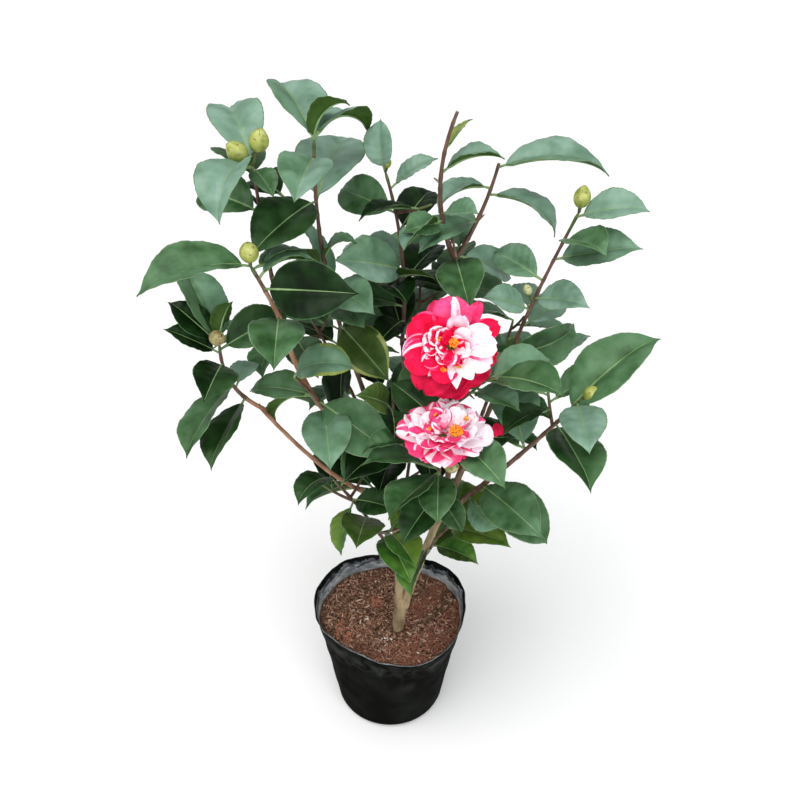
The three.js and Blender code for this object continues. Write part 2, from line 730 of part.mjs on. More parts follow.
const plant = new THREE.Group();
plant.add(meshOf("pot", potSolid(), potMaterial));
plant.add(meshOf("soil", soilSolid(), soilMaterial));

// The woody frame: each limb is cut clear of the one that carries it and of its neighbours at that fork.
const limbs = new Map();

function cutClear(solid, limb) {
  for (const other of limbs.values()) {
    if (other.name === limb.parent || other.parent === limb.parent) {
      solid = solid.subtract(other.grown);
    }
  }
  return largestBody(solid);
}

for (const limb of [...stems, ...boughs]) {
  limb.line = lineOf(limb);
  const sides = stems.includes(limb) ? stemSides : boughSides;
  const solid = cutClear(limbSolid(limb, sides, limbSteps), limb);
  limb.grown = limbSolid(limb, sides, limbSteps, clearance);
  limbs.set(limb.name, limb);
  takeLimb(limb.name, limb.line, Math.max(...limb.girth));
  plant.add(meshOf(limb.name, solid, barkMaterial));
}

// Stems and posed leaves of every mass come first, so that the seeded growth keeps clear of them all.
for (const mass of masses) {
  mass.foot = mass.foot ?? limbs.get(mass.parent).tip;
  mass.line = lineOf(mass);
  mass.blades = [];
  mass.twigLimbs = [];
  takeLimb(mass.name, mass.line, mass.girth[0]);
}
for (const mass of masses) {
  posedLeaves(mass);
  mass.petals = mass.bloom ? bloomBlades(mass.bloom, mass.seed) : [];
  for (const petal of mass.petals) {
    takeBlade(mass.name, petal);
  }
}
for (const mass of masses) {
  ruledGrowth(mass);
}

// A bud on its short stalk.
function budSolids(mass, [at, heading, rise, distance, radius]) {
  const foot = mass.line.getPoint(at);
  const forward = directionOf(heading, rise);
  const stalkTip = foot.clone().addScaledVector(forward, distance);
  const stalk = shootOf(mass.name, foot, foot.clone().lerp(stalkTip, 0.5), stalkTip, twigRule.radius);
  const seat = foot.clone().addScaledVector(forward, distance - budSink);
  return [limbSolid(stalk, twigSides, 1), eggSolid(seat, forward, budLength * radius, radius)];
}

// A bloom's heart, and the shoot that carries it.
function bloomSolids(mass) {
  const axis = directionOf(mass.bloom.heading, mass.bloom.rise);
  const seat = vectorOf(mass.bloom.centre).addScaledVector(axis, -receptacleSink * receptacleRadius);
  const foot = vectorOf(mass.tip);
  const girth = [mass.girth[1], mass.girth[1]];
  const inside = seat.clone().addScaledVector(axis, receptacleRadius / 2);
  const shoot = shootOf(mass.name, foot, foot.clone().lerp(seat, 0.5), inside, girth);
  const heart = eggSolid(seat, axis, receptacleLength * receptacleRadius, receptacleRadius);
  return [heart, limbSolid(shoot, shootSides, 1)];
}

for (const mass of masses) {
  const pieces = [limbSolid(mass, shootSides, shootSteps)];
  pieces.push(...mass.twigLimbs.map((twig) => limbSolid(twig, twigSides, twigSteps)));
  pieces.push(...mass.buds.flatMap((bud) => budSolids(mass, bud)));
  if (mass.bloom) {
    pieces.push(...bloomSolids(mass));
  }
  pieces.push(...mass.blades.map(bladeSolid), ...mass.petals.map(bladeSolid));
  const solid = cutClear(wasm.Manifold.union(pieces), mass);
  mass.grown = limbSolid(mass, shootSides, shootSteps, clearance);
  limbs.set(mass.name, mass);
  plant.add(meshOf(mass.name, solid, mass.bloom ? petalMaterial : leafMaterial));
}

export default plant;
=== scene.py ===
# A young camellia in a soft nursery pot: bark, leaves, buds, blooms, pot and potting mix in Blender.
# Growth is worked out in millimetres, +Z up, and made in metres.
import math
import bpy
import numpy as np
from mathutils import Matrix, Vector


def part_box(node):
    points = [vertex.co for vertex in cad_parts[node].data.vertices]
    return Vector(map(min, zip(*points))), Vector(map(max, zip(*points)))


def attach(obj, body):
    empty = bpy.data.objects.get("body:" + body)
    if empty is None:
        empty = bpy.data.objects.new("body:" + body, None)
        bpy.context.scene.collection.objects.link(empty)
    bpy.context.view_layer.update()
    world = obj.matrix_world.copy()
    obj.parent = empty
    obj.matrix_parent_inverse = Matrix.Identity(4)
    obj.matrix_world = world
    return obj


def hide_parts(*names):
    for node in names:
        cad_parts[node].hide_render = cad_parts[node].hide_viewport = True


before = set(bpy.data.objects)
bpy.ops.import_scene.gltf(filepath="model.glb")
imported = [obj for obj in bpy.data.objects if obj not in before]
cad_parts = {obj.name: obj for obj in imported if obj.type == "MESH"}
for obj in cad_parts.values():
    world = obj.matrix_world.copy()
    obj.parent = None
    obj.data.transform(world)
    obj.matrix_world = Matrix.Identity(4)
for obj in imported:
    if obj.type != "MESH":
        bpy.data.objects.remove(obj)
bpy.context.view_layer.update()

print("frame loaded:", len(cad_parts), "nodes")

metre = 0.001  # one millimetre in Blender's units

# Growth: the same limbs, shoots and seeded rule as the solids.

# A limb is its name, foot, way point, tip and girths at both ends.
barkLimbs = [dict(zip(("name", "foot", "via", "tip", "girth"), row)) for row in (
    ("trunk", [9, -20, 118.3], [11, -20, 142], [13, -19, 162], [6.2, 6.4]),
    ("stem_left", [11, -18, 156], [8, -9, 240], [0, 8, 310], [4.9, 4]),
    ("stem_right", [16, -20, 156], [34, -30, 239], [52, -45, 313], [4, 3.2]),
    ("low_left_bough", [4, 0, 279], [-47, -24, 329], [-106, -34, 412], [3.2, 2.3]),
    ("left_bough", [0, 8, 310], [-27, 0, 352], [-51, -12, 387], [3.7, 3.3]),
    ("left_upper_bough", [-51, -12, 387], [-70, -25, 436], [-82, -35, 494], [3.1, 2.4]),
    ("upper_left_bough", [1, 7, 306], [-18, 20, 377], [-35, 26, 432], [3, 2.5]),
    ("middle_bough", [2, 5, 298], [14, 28, 360], [13, 44, 432], [2.9, 2.4]),
    ("upper_right_bough", [51, -44, 308], [59, 0, 417], [57, 38, 513], [3.1, 2.6]),
    ("right_bough", [52, -45, 313], [78, -25, 371], [103, 6, 422], [2.9, 2.4]),
    ("low_right_bough", [46, -40, 293], [58, -46, 309], [70, -50, 327], [3, 2.8]),
)]

# A shoot grows from a limb's tip or from a point. Its single numbers are the seed, the count, length and
# first turn of its twigs, and the count of its stem leaves.
# A posed leaf is [share of the stem, heading, rise, roll, length, bow].
# A bud is [share of the stem, heading, rise, distance, radius].
shootFields = ("name", "foot", "via", "tip", "girth", "seed", "twigs", "twigLength", "turn", "leaves",
               "posed", "buds", "bloom")
shoots = [dict(zip(shootFields, row)) for row in (
    ("far_left_foliage", "low_left_bough", [-128, -34, 437], [-133, -34, 473], [2.2, 1.5], 3, 2, 34, 60, 3,
     [[1, 62, 53, -103, 38, 54], [1, 160, 38, -15, 53, 8], [0.9, 195, 36, -24, 49, 8],
      [0.98, 122, 33, 23, 84, 8], [0.94, 30, 15, 35, 66], [0.77, 268, 5, -20, 64], [0.4, 80, 0, 0, 44],
      [0.45, 246, -18, 21, 77, 27], [0.22, 252, -17, 22, 73, 8]], [[1, 270, 60, 6, 6]]),
    ("left_foliage", "left_upper_bough", [-89, -38, 517], [-100, -40, 544], [2.3, 1.6], 5, 1, 30, 90, 0,
     [[1, 204, -5, -11, 89, 55], [0.65, 338, 8, 60, 82], [0.1, 274, 0, -5, 76], [0.8, 18, 3, -5, 55, 110],
      [0.95, 39, -11, -17, 66, 52]], [[1, 280, 75, 7, 7]]),
    ("top_left_foliage", "left_upper_bough", [-95, 6, 539], [-100, 12, 603], [2.1, 1.5], 8, 1, 36, 60, 1,
     [[1, 112, 19, -9, 81, 83], [0.98, 253, -19, 9, 77, 110], [0.98, 300, -15, 10, 40],
      [0.72, 142, 0, -30, 74], [0.3, 332, -4, 35, 68]], [[1, 200, 45, 9, 7.5], [1, 20, 70, 12, 7.5]]),
    ("upper_left_foliage", "upper_left_bough", [-53, 29, 526], [-54, 24, 618], [2.3, 1.5], 13, 1, 45, 30, 2,
     [[1, 115, 17, 10, 90, 25], [0.98, 356, 47, -31, 50, 110], [0.73, 80, 13, 2, 106, 20],
      [0.92, 264, -5, -10, 78], [0.73, 236, -12, -20, 82], [0.44, 350, 35, 1, 41, 110],
      [0.13, 310, -20, 30, 74], [0.23, 300, 5, 20, 58], [0.33, 308, 0, 25, 66], [1, 46, -7, -8, 70, 110],
      [0.4, 150, 56, 15, 48, 23], [0.02, 266, -54, 36, 66]], []),
    ("middle_foliage", "middle_bough", [13, 52, 509], [-1, 58, 582], [2.2, 1.4], 21, 2, 42, 140, 3,
     [[1, 118, 80, -43, 46, 85], [0.76, 140, 5, -45, 68], [0.9, 11, 31, 9, 47, 29], [0.65, 60, 18, 10, 64],
      [0.34, 57, 12, 0, 68], [0.45, 132, 0, -20, 66], [0.42, 214, 22, -50, 76], [0.12, 243, 0, -10, 54],
      [0.02, 105, 20, 0, 80]], [[1, 300, 60, 7, 4]]),
    ("upper_right_foliage", "upper_right_bough", [43, 34, 575], [54, 28, 638], [2.5, 2], 34, 0, 30, 80, 0,
     [[0.76, 46, 32, -25, 36, 9], [0.61, 356, 15, -4, 54, 65], [0.34, 314, 16, 25, 42],
      [0.26, 222, 8, -30, 46], [0.29, 233, -8, 30, 56], [0.12, 80, 10, 0, 36]], []),
    ("right_back_foliage", "upper_right_bough", [78, 54, 547], [92, 64, 587], [2.5, 2], 55, 0, 44, 20, 0,
     [[0.96, 352, 0, 3, 95, 49], [0.76, 198, -17, 1, 55, 84], [0.7, 341, -24, -4, 72, 67],
      [0.43, 220, -8, -5, 68], [0.02, 276, -8, 15, 74], [0.05, 22, -30, 35, 64], [0.1, 95, 6, 0, 70]], []),
    ("right_foliage", "right_bough", [119, 12, 478], [152, 18, 563], [2.2, 1.5], 89, 1, 34, 80, 2,
     [[0.98, 337, 15, 31, 59, 43], [0.79, 340, 18, 29, 71, 10], [0.68, 132, 8, -35, 58],
      [0.51, 200, 25, -35, 50], [0.5, 90, 8, 0, 44], [0.58, 314, 14, 35, 56], [0.4, 34, 10, 20, 52],
      [0.23, 359, 26, 90, 68, 110], [0.04, 64, 0, 20, 52]], [[1, 0, 85, 6, 7.5], [0.56, 150, 60, 9, 4]]),
    ("low_right_foliage", "low_right_bough", [111, -66, 388], [149, -76, 446], [2.7, 1.6], 144, 1, 40, 90, 1,
     [[0.9, 18, 39, 8, 95], [0.99, 268, 0, 10, 64], [0.8, 280, 1, -7, 82, 12], [0.53, 102, 27, -5, 80, 30],
      [0.14, 304, 0, 25, 80], [0.1, 329, -24, 22, 83, 67], [0.02, 301, -6, 76, 47, 56]],
     [[1, 350, 45, 8, 6]]),
    ("centre_left_foliage", "left_bough", [-58, -30, 417], [-75, -45, 450], [2.2, 1.5], 233, 1, 30, 250, 1,
     [[0.47, 330, -22, 40, 82], [0.3, 278, -8, 0, 76], [0.59, 162, -5, -10, 64],
      [0.98, 353, 14, 24, 62, 110], [0.55, 173, -35, 17, 55, 97], [0.08, 333, 58, 159, 36, 40]], []),
    ("low_left_foliage", [8, -13, 212], [-20, -30, 285], [-48, -40, 338], [2.1, 1.4], 377, 2, 30, 300, 2,
     [[1, 236, 9, 7, 55, 82], [0.5, 265, 22, -8, 73, 26], [0.7, 252, -43, 34, 51, 28],
      [0.72, 325, 15, 25, 54], [0.9, 60, 10, 20, 62]], []),
    ("low_front_foliage", [29, -27, 222], [39, -42, 255], [42, -54, 280], [1.9, 1.3], 610, 1, 24, 40, 1,
     [[0.67, 324, 8, 5, 52], [0.52, 252, 1, 34, 66, 53], [0.4, 60, 0, 20, 56]], []),
    ("upper_bloom_foliage", [51, -45, 306], [53, -62, 405], [49, -80, 486], [2.4, 2], 987, 2, 36, 170, 2,
     [[0.5, 142, 22, -25, 70], [0.45, 330, 25, 50, 62]],
     [], {"centre": [48, -92, 505], "heading": 262, "rise": 30, "turn": 12}),
    ("lower_bloom_foliage", [48, -41, 296], [43, -72, 362], [43, -106, 426], [2.3, 2], 1597, 1, 30, 10, 2,
     [[0.65, 236, 4, 23, 74, 8], [0.68, 267, -9, 9, 56, 18], [0.35, 236, -15, -10, 60],
      [0.3, 299, -14, 18, 44, 62]],
     [[0.74, 310, 30, 12, 5.5]], {"centre": [43, -112, 443], "heading": 265, "rise": 76, "turn": 30}),
    ("inner_front_foliage", [1, 6, 305], [8, -26, 372], [2, -50, 424], [2.2, 1.4], 2584, 3, 40, 200, 7,
     [[1, 231, 40, -60, 50], [0.98, 275, 6, -20, 50]], []),
    ("inner_back_foliage", [4, 1, 288], [24, 66, 392], [30, 104, 474], [2.2, 1.4], 4181, 4, 50, 90, 4,
     [], []),
    ("back_left_foliage", [2, 5, 300], [-34, 60, 360], [-78, 98, 430], [2.7, 1.4], 6765, 5, 52, 20, 4,
     [], []),
    ("back_right_foliage", [50, -43, 305], [88, 24, 366], [118, 84, 430], [2.6, 1.4], 10946, 5, 52, 120, 4,
     [], []),
    ("back_low_foliage", [7, -9, 240], [20, 44, 288], [26, 92, 350], [2.5, 1.4], 17711, 4, 46, 200, 4,
     [], []),
)]

# Room and chances of the rule, in millimetres and degrees.
growth = {
    "goldenAngle": 137.5, "warmUpDraws": 3, "spaceReach": 104, "bladeGap": 8, "ownBladeGap": 5.5,
    "limbGap": 4, "limbPointSpacing": 6, "sampleRows": 7, "sampleRowSpread": 7.4, "footSamples": 10,
    "linePoints": 8,
}
sampleShares = (np.arange(1, growth["sampleRows"] + 1) / growth["sampleRowSpread"])[:, None]
sampleSides = np.arange(-2, 3)[None, :] / 2
leafSize = {"width": 0.56, "fold": 14, "bow": 34, "petiole": 7, "longestPetiole": 0.16, "petioleRadius": 1.1}
twigRule = {
    "start": 0.22, "headingSpread": 40, "lowestRise": 8, "riseSpread": 40, "shortest": 0.8,
    "lengthSpread": 0.4, "sag": 0.05, "radius": [1.5, 1.1], "leaves": 4, "leafZone": 0.7, "leafSide": 62,
    "leafRise": 6, "leafLength": 68,
}
stemLeafRule = {"start": 0.2, "zone": 0.75, "turn": 70, "rise": 8, "length": 72}
leafChance = {"tries": 5, "turn": 30, "raise": 24, "roll": 50, "shortest": 0.88, "lengthSpread": 0.24}


# Each use of a shoot's seed has a series of its own: a factor and an offset.
seedSeries = {
    "twigs": (97, 0), "stemLeaves": (131, 500), "finerTwigs": (151, 900), "leaves": (17, 3), "bark": (19, 5),
    "bloom": (23, 11),
}


def seedOf(shoot, use):
    factor, offset = seedSeries[use]
    return shoot["seed"] * factor + offset


def seeded(seed):
    state = seed % 2**32

    def draw():
        nonlocal state
        state = (1664525 * state + 1013904223) % 2**32
        return state / 2**32

    for _ in range(growth["warmUpDraws"]):
        draw()
    return draw


def unit(vector):
    return vector / np.linalg.norm(vector)


def directionOf(heading, rise):
    level = math.cos(math.radians(rise))
    turn = math.radians(heading)
    return np.array([math.cos(turn) * level, math.sin(turn) * level, math.sin(math.radians(rise))])


def acrossOf(forward):
    across = unit(np.cross([0, 0, 1], forward))
    return across, np.cross(forward, across)


# A limb's centre line is a parabola through its via point, held as foot, handle and tip.
def makeLine(foot, via, tip):
    foot, via, tip = np.array(foot, float), np.array(via, float), np.array(tip, float)
    return foot, 2 * via - 0.5 * foot - 0.5 * tip, tip


def pointOn(line, share):
    share = np.asarray(share, float)[..., None]
    return (1 - share) ** 2 * line[0] + 2 * (1 - share) * share * line[1] + share**2 * line[2]


def lengthOf(line):
    points = pointOn(line, np.linspace(0, 1, 201))
    return float(np.linalg.norm(np.diff(points, axis=0), axis=1).sum())


def makeLeaf(origin, heading, rise, roll, length, bow=leafSize["bow"]):
    forward = directionOf(heading, rise)
    up = directionOf(heading, rise + 90)
    turned = np.cross(forward, up)
    normal = up * math.cos(math.radians(roll)) + turned * math.sin(math.radians(roll))
    stalk = min(leafSize["petiole"], leafSize["longestPetiole"] * length)
    return {
        "origin": origin, "forward": forward, "normal": normal, "left": np.cross(normal, forward),
        "length": length, "bow": bow, "stalk": stalk / length, "width": leafSize["width"] * length,
    }


# Points of a blade bowed along a circular arc; along runs from 0 to 1.
def bladePoint(blade, along, across, above):
    bow = math.radians(blade["bow"])
    slope = bow / 2 - bow * along
    x = blade["length"] * (math.sin(bow / 2) - np.sin(slope)) / bow - above * np.sin(slope)
    z = blade["length"] * (np.cos(slope) - math.cos(bow / 2)) / bow + above * np.cos(slope)
    x, z, across = np.broadcast_arrays(x, z, across)
    return (blade["origin"] + x[..., None] * blade["forward"] + z[..., None] * blade["normal"]
            + across[..., None] * blade["left"])


def leafOutline(share):
    return np.sin(np.pi * share**0.9) ** (0.8 + 0.9 * share**6)


def samplesOf(blade):
    fold = math.radians(leafSize["fold"])
    half = blade["width"] / 2 * leafOutline(sampleShares) * sampleSides
    along = blade["stalk"] + (1 - blade["stalk"]) * sampleShares
    return bladePoint(blade, along, half * math.cos(fold), np.abs(half) * math.sin(fold)).reshape(-1, 3)


taken = []  # what has been placed so far, as points that later leaves keep clear of


def take(owner, kind, points, girth=0):
    centre = points.mean(0)
    reach = float(np.linalg.norm(points - centre, axis=1).max())
    taken.append({"owner": owner, "kind": kind, "points": points, "girth": girth,
                  "centre": tuple(centre), "reach": reach})


def takeLimb(owner, line, girth):
    steps = math.ceil(lengthOf(line) / growth["limbPointSpacing"])
    take(owner, "limb", pointOn(line, np.linspace(0, 1, steps + 1)), girth)


def isClear(owner, points, bladeGap, ownBladeGap):
    centre = tuple(points.mean(0))
    reach = float(np.linalg.norm(points - points.mean(0), axis=1).max())
    for other in taken:
        own = owner == other["owner"]
        limb = other["kind"] == "limb"
        gap = growth["limbGap"] + other["girth"] if limb else (ownBladeGap if own else bladeGap)
        if math.dist(centre, other["centre"]) > reach + other["reach"] + gap:
            continue
        tested = points[growth["footSamples"]:] if limb and own else points
        if np.linalg.norm(tested[:, None] - other["points"][None], axis=2).min() < gap:
            return False
    return True


# A leaf of the seeded rule: it is turned a few times for room, then skipped.
def tryLeaf(shoot, origin, heading, rise, length, draw, room):
    along = pointOn(shoot["line"], np.linspace(0, 1, growth["linePoints"] + 1))
    for attempt in range(leafChance["tries"]):
        turned = heading + (draw() - 0.5) * leafChance["turn"] * (1 + attempt)
        raised = rise + (draw() - 0.5) * leafChance["raise"]
        rolled = (draw() - 0.5) * leafChance["roll"]
        size = length * (leafChance["shortest"] + leafChance["lengthSpread"] * draw())
        blade = makeLeaf(origin, turned, raised, rolled, size)
        points = samplesOf(blade)
        nearStem = np.linalg.norm(points[:, None] - along[None], axis=2).min(1).max() < room["reach"]
        inBox = room["low"] is None or ((points > room["low"]).all() and (points < room["high"]).all())
        if nearStem and inBox and isClear(shoot["name"], points, room["bladeGap"], room["ownBladeGap"]):
            return blade
    return None


def keepBlade(shoot, blade):
    shoot["blades"].append(blade)
    take(shoot["name"], "blade", samplesOf(blade))


# Side twigs go round the stem by the golden angle, each with alternate leaves.
def growTwigs(shoot, count, seed, turn, length, leafLength, room):
    for k in range(count):
        draw = seeded(seed + k)
        at = twigRule["start"] + (1 - twigRule["start"]) * (k + draw()) / count
        heading = turn + k * growth["goldenAngle"] + (draw() - 0.5) * twigRule["headingSpread"]
        rise = twigRule["lowestRise"] + twigRule["riseSpread"] * draw()
        reach = length * (twigRule["shortest"] + twigRule["lengthSpread"] * draw())
        foot = pointOn(shoot["line"], min(at, 1))
        tip = foot + directionOf(heading, rise) * reach
        via = (foot + tip) / 2 - np.array([0, 0, twigRule["sag"] * reach])
        line = makeLine(foot, via, tip)
        clearOf = pointOn(line, np.arange(2, 8) / 7)
        if not isClear(shoot["name"] + " twig", clearOf, room["bladeGap"], room["ownBladeGap"]):
            continue
        grown = 0
        for j in range(twigRule["leaves"]):
            place = pointOn(line, 1 - twigRule["leafZone"] * j / twigRule["leaves"])
            side = 0 if j == 0 else (twigRule["leafSide"] if j % 2 else -twigRule["leafSide"])
            blade = tryLeaf(shoot, place, heading + side, twigRule["leafRise"], leafLength, draw, room)
            if blade:
                keepBlade(shoot, blade)
                grown += 1
        if grown:
            shoot["twigLines"].append(line)
            takeLimb(shoot["name"], line, twigRule["radius"][0])


def growStemLeaves(shoot, room):
    for k in range(shoot["leaves"]):
        draw = seeded(seedOf(shoot, "stemLeaves") + k)
        tipLeaf = k == 0 and not shoot["posed"]
        at = 1 if tipLeaf else stemLeafRule["start"] + stemLeafRule["zone"] * (k + draw()) / shoot["leaves"]
        heading = shoot["turn"] + stemLeafRule["turn"] + k * growth["goldenAngle"]
        place = pointOn(shoot["line"], min(at, 1))
        blade = tryLeaf(shoot, place, heading, stemLeafRule["rise"], stemLeafRule["length"], draw, room)
        if blade:
            keepBlade(shoot, blade)


# The solids' petals take room too: two whorls round each bloom's axis.
petalRoom = {
    "whorls": [{"count": 8, "lift": 6, "length": 36, "width": 31, "bow": 16},
               {"count": 6, "lift": 34, "length": 30, "width": 26, "bow": -26}],
    "sink": 2, "fold": 10, "claw": 0.1, "turnSpread": 10, "liftSpread": 8,
}
petalShape = {"foot": 0.2, "widest": 0.62, "crown": 0.385}


def bloomAxis(bloom):
    axis = directionOf(bloom["heading"], bloom["rise"])
    across, other = acrossOf(axis)
    return axis, across, other


def petalOutline(share):
    foot, widest = petalShape["foot"], petalShape["widest"]
    rising = foot + (1 - foot) * np.sin(np.pi / 2 * np.minimum(share / widest, 1))
    rounded = np.sqrt(np.maximum(0, 1 - ((share - widest) / petalShape["crown"]) ** 2))
    return np.where(share < widest, rising, rounded)


def takePetals(shoot):
    bloom = shoot["bloom"]
    draw = seeded(shoot["seed"])
    axis, across, other = bloomAxis(bloom)
    origin = np.array(bloom["centre"], float) - petalRoom["sink"] * axis
    fold = math.radians(petalRoom["fold"])
    along = petalRoom["claw"] + (1 - petalRoom["claw"]) * sampleShares
    for whorl in petalRoom["whorls"]:
        for k in range(whorl["count"]):
            turn = bloom["turn"] + 360 * k / whorl["count"] + whorl["lift"] * 2
            turn += (draw() - 0.5) * petalRoom["turnSpread"]
            angle = math.radians(turn)
            outward = across * math.cos(angle) + other * math.sin(angle)
            lift = math.radians(whorl["lift"] + (draw() - 0.5) * petalRoom["liftSpread"])
            forward = outward * math.cos(lift) + axis * math.sin(lift)
            normal = axis * math.cos(lift) - outward * math.sin(lift)
            blade = {"origin": origin, "forward": forward, "normal": normal,
                     "left": np.cross(normal, forward), "length": whorl["length"], "bow": whorl["bow"]}
            half = whorl["width"] / 2 * petalOutline(sampleShares) * sampleSides
            points = bladePoint(blade, along, half * math.cos(fold), np.abs(half) * math.sin(fold))
            take(shoot["name"], "blade", points.reshape(-1, 3))


limbs = {}
for limb in barkLimbs:
    limb["line"] = makeLine(limb["foot"], limb["via"], limb["tip"])
    limbs[limb["name"]] = limb
    takeLimb(limb["name"], limb["line"], max(limb["girth"]))
for shoot in shoots:
    if isinstance(shoot["foot"], str):
        shoot["foot"] = limbs[shoot["foot"]]["tip"]
    shoot["line"] = makeLine(shoot["foot"], shoot["via"], shoot["tip"])
    shoot["blades"] = []
    shoot["twigLines"] = []
    takeLimb(shoot["name"], shoot["line"], shoot["girth"][0])
for shoot in shoots:
    for posed in shoot["posed"]:
        keepBlade(shoot, makeLeaf(pointOn(shoot["line"], posed[0]), *posed[1:]))
    if "bloom" in shoot:
        takePetals(shoot)
sourceRoom = {"reach": growth["spaceReach"], "low": None, "high": None,
              "bladeGap": growth["bladeGap"], "ownBladeGap": growth["ownBladeGap"]}
for shoot in shoots:
    growTwigs(shoot, shoot["twigs"], seedOf(shoot, "twigs"), shoot["turn"], shoot["twigLength"],
              twigRule["leafLength"], sourceRoom)
    growStemLeaves(shoot, sourceRoom)
print("source growth:", sum(len(shoot["blades"]) for shoot in shoots), "leaves")

# Finer twigs, with smaller leaves, fill the inside and back of the crown within the same reach.
finer = {
    "reach": 70, "bladeGap": 4.5, "ownBladeGap": 4, "twigLength": 34, "leafLength": 56, "boxMargin": 2,
    "turn": 70,
    "twigs": {"inner_front_foliage": 6, "inner_back_foliage": 7, "back_left_foliage": 7,
              "back_right_foliage": 7, "back_low_foliage": 5, "low_left_foliage": 2,
              "centre_left_foliage": 3, "lower_bloom_foliage": 4, "upper_bloom_foliage": 3,
              "middle_foliage": 2},
}
for shoot in shoots:
    low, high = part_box(shoot["name"])
    room = {"reach": finer["reach"], "bladeGap": finer["bladeGap"], "ownBladeGap": finer["ownBladeGap"],
            "low": np.array(low) / metre - finer["boxMargin"],
            "high": np.array(high) / metre + finer["boxMargin"]}
    growTwigs(shoot, finer["twigs"].get(shoot["name"], 0), seedOf(shoot, "finerTwigs"),
              shoot["turn"] + finer["turn"], finer["twigLength"], finer["leafLength"], room)
print("with finer twigs:", sum(len(shoot["blades"]) for shoot in shoots), "leaves")

# Finishes: each one a small node tree of tones, roughness and relief.


def makeFinish(name, look):
    material = bpy.data.materials.new(name)
    material.use_nodes = True
    nodes, links = material.node_tree.nodes, material.node_tree.links
    shader = nodes["Principled BSDF"]
    coords = nodes.new("ShaderNodeTexCoord")
    stretch = nodes.new("ShaderNodeMapping")
    stretch.inputs["Scale"].default_value = look.get("stretch", (1, 1, 1))
    links.new(coords.outputs["Object"], stretch.inputs["Vector"])

    def noiseOf(scale, detail=3, distortion=0.0):
        noise = nodes.new("ShaderNodeTexNoise")
        noise.inputs["Scale"].default_value = scale
        noise.inputs["Detail"].default_value = detail
        noise.inputs["Distortion"].default_value = distortion
        links.new(stretch.outputs["Vector"], noise.inputs["Vector"])
        return noise.outputs["Fac"]

    def rampOf(source, stops):
        ramp = nodes.new("ShaderNodeValToRGB")
        links.new(source, ramp.inputs["Fac"])
        elements = ramp.color_ramp.elements
        while len(elements) < len(stops):
            elements.new(0.5)
        for element, (place, colour) in zip(elements, stops):
            element.position = place
            element.color = (*colour, 1)
        return ramp.outputs["Color"]

    def mixOf(share, first, second):
        mix = nodes.new("ShaderNodeMix")
        mix.data_type = "RGBA"
        links.new(share, mix.inputs["Factor"])
        links.new(first, mix.inputs[6])
        if hasattr(second, "node"):
            links.new(second, mix.inputs[7])
        else:
            mix.inputs[7].default_value = (*second, 1)
        return mix.outputs[2]

    tones = look["tones"]
    first, last = look.get("toneSpan", (0.32, 0.68))
    stops = [(first + (last - first) * k / max(1, len(tones) - 1), tone) for k, tone in enumerate(tones)]
    colour = rampOf(noiseOf(look["toneScale"], look.get("toneDetail", 4)), stops)
    for scale, low, high, tint in look.get("specks", []):
        mask = rampOf(noiseOf(scale, 2), [(low, (0, 0, 0)), (high, (1, 1, 1))])
        colour = mixOf(mask, colour, tint)
    for low, high, soft, scale, tint in look.get("bands", []):
        parted = nodes.new("ShaderNodeSeparateXYZ")
        links.new(coords.outputs["Object"], parted.inputs[0])
        rise, fall, both, cloudy = (nodes.new(kind) for kind in (
            "ShaderNodeMapRange", "ShaderNodeMapRange", "ShaderNodeMath", "ShaderNodeMath"))
        for ramp, start, end in ((rise, low, low + soft), (fall, high, high - soft)):
            links.new(parted.outputs["Z"], ramp.inputs["Value"])
            ramp.inputs["From Min"].default_value = start
            ramp.inputs["From Max"].default_value = end
        both.operation = cloudy.operation = "MULTIPLY"
        links.new(rise.outputs["Result"], both.inputs[0])
        links.new(fall.outputs["Result"], both.inputs[1])
        links.new(both.outputs["Value"], cloudy.inputs[0])
        links.new(rampOf(noiseOf(scale, 5, 1.5), [(0.42, (0, 0, 0)), (0.68, (1, 1, 1))]), cloudy.inputs[1])
        colour = mixOf(cloudy.outputs["Value"], colour, tint)
    links.new(colour, shader.inputs["Base Color"])

    rough = nodes.new("ShaderNodeMapRange")
    rough.inputs["To Min"].default_value, rough.inputs["To Max"].default_value = look["roughness"]
    links.new(noiseOf(look.get("roughScale", look["toneScale"] * 2)), rough.inputs["Value"])
    links.new(rough.outputs["Result"], shader.inputs["Roughness"])

    normal = None
    for scale, strength, depth in look.get("relief", []):
        bump = nodes.new("ShaderNodeBump")
        bump.inputs["Strength"].default_value = strength
        bump.inputs["Distance"].default_value = depth * metre
        links.new(noiseOf(scale, 4), bump.inputs["Height"])
        if normal:
            links.new(normal, bump.inputs["Normal"])
        normal = bump.outputs["Normal"]
    if normal:
        links.new(normal, shader.inputs["Normal"])
    for socket, value in look.get("sockets", {}).items():
        shader.inputs[socket].default_value = value
    return material


def leafFinish(name, tones, roughness=(0.40, 0.54), coat=0.0, specular=0.3):
    return makeFinish(name, {
        "tones": tones, "toneScale": 58, "toneDetail": 6, "toneSpan": (0.30, 0.70), "roughness": roughness,
        "roughScale": 90, "relief": [(900, 0.10, 0.3), (200, 0.12, 0.6)],
        "sockets": {"Coat Weight": coat, "Coat Roughness": 0.35, "Specular IOR Level": specular},
    })


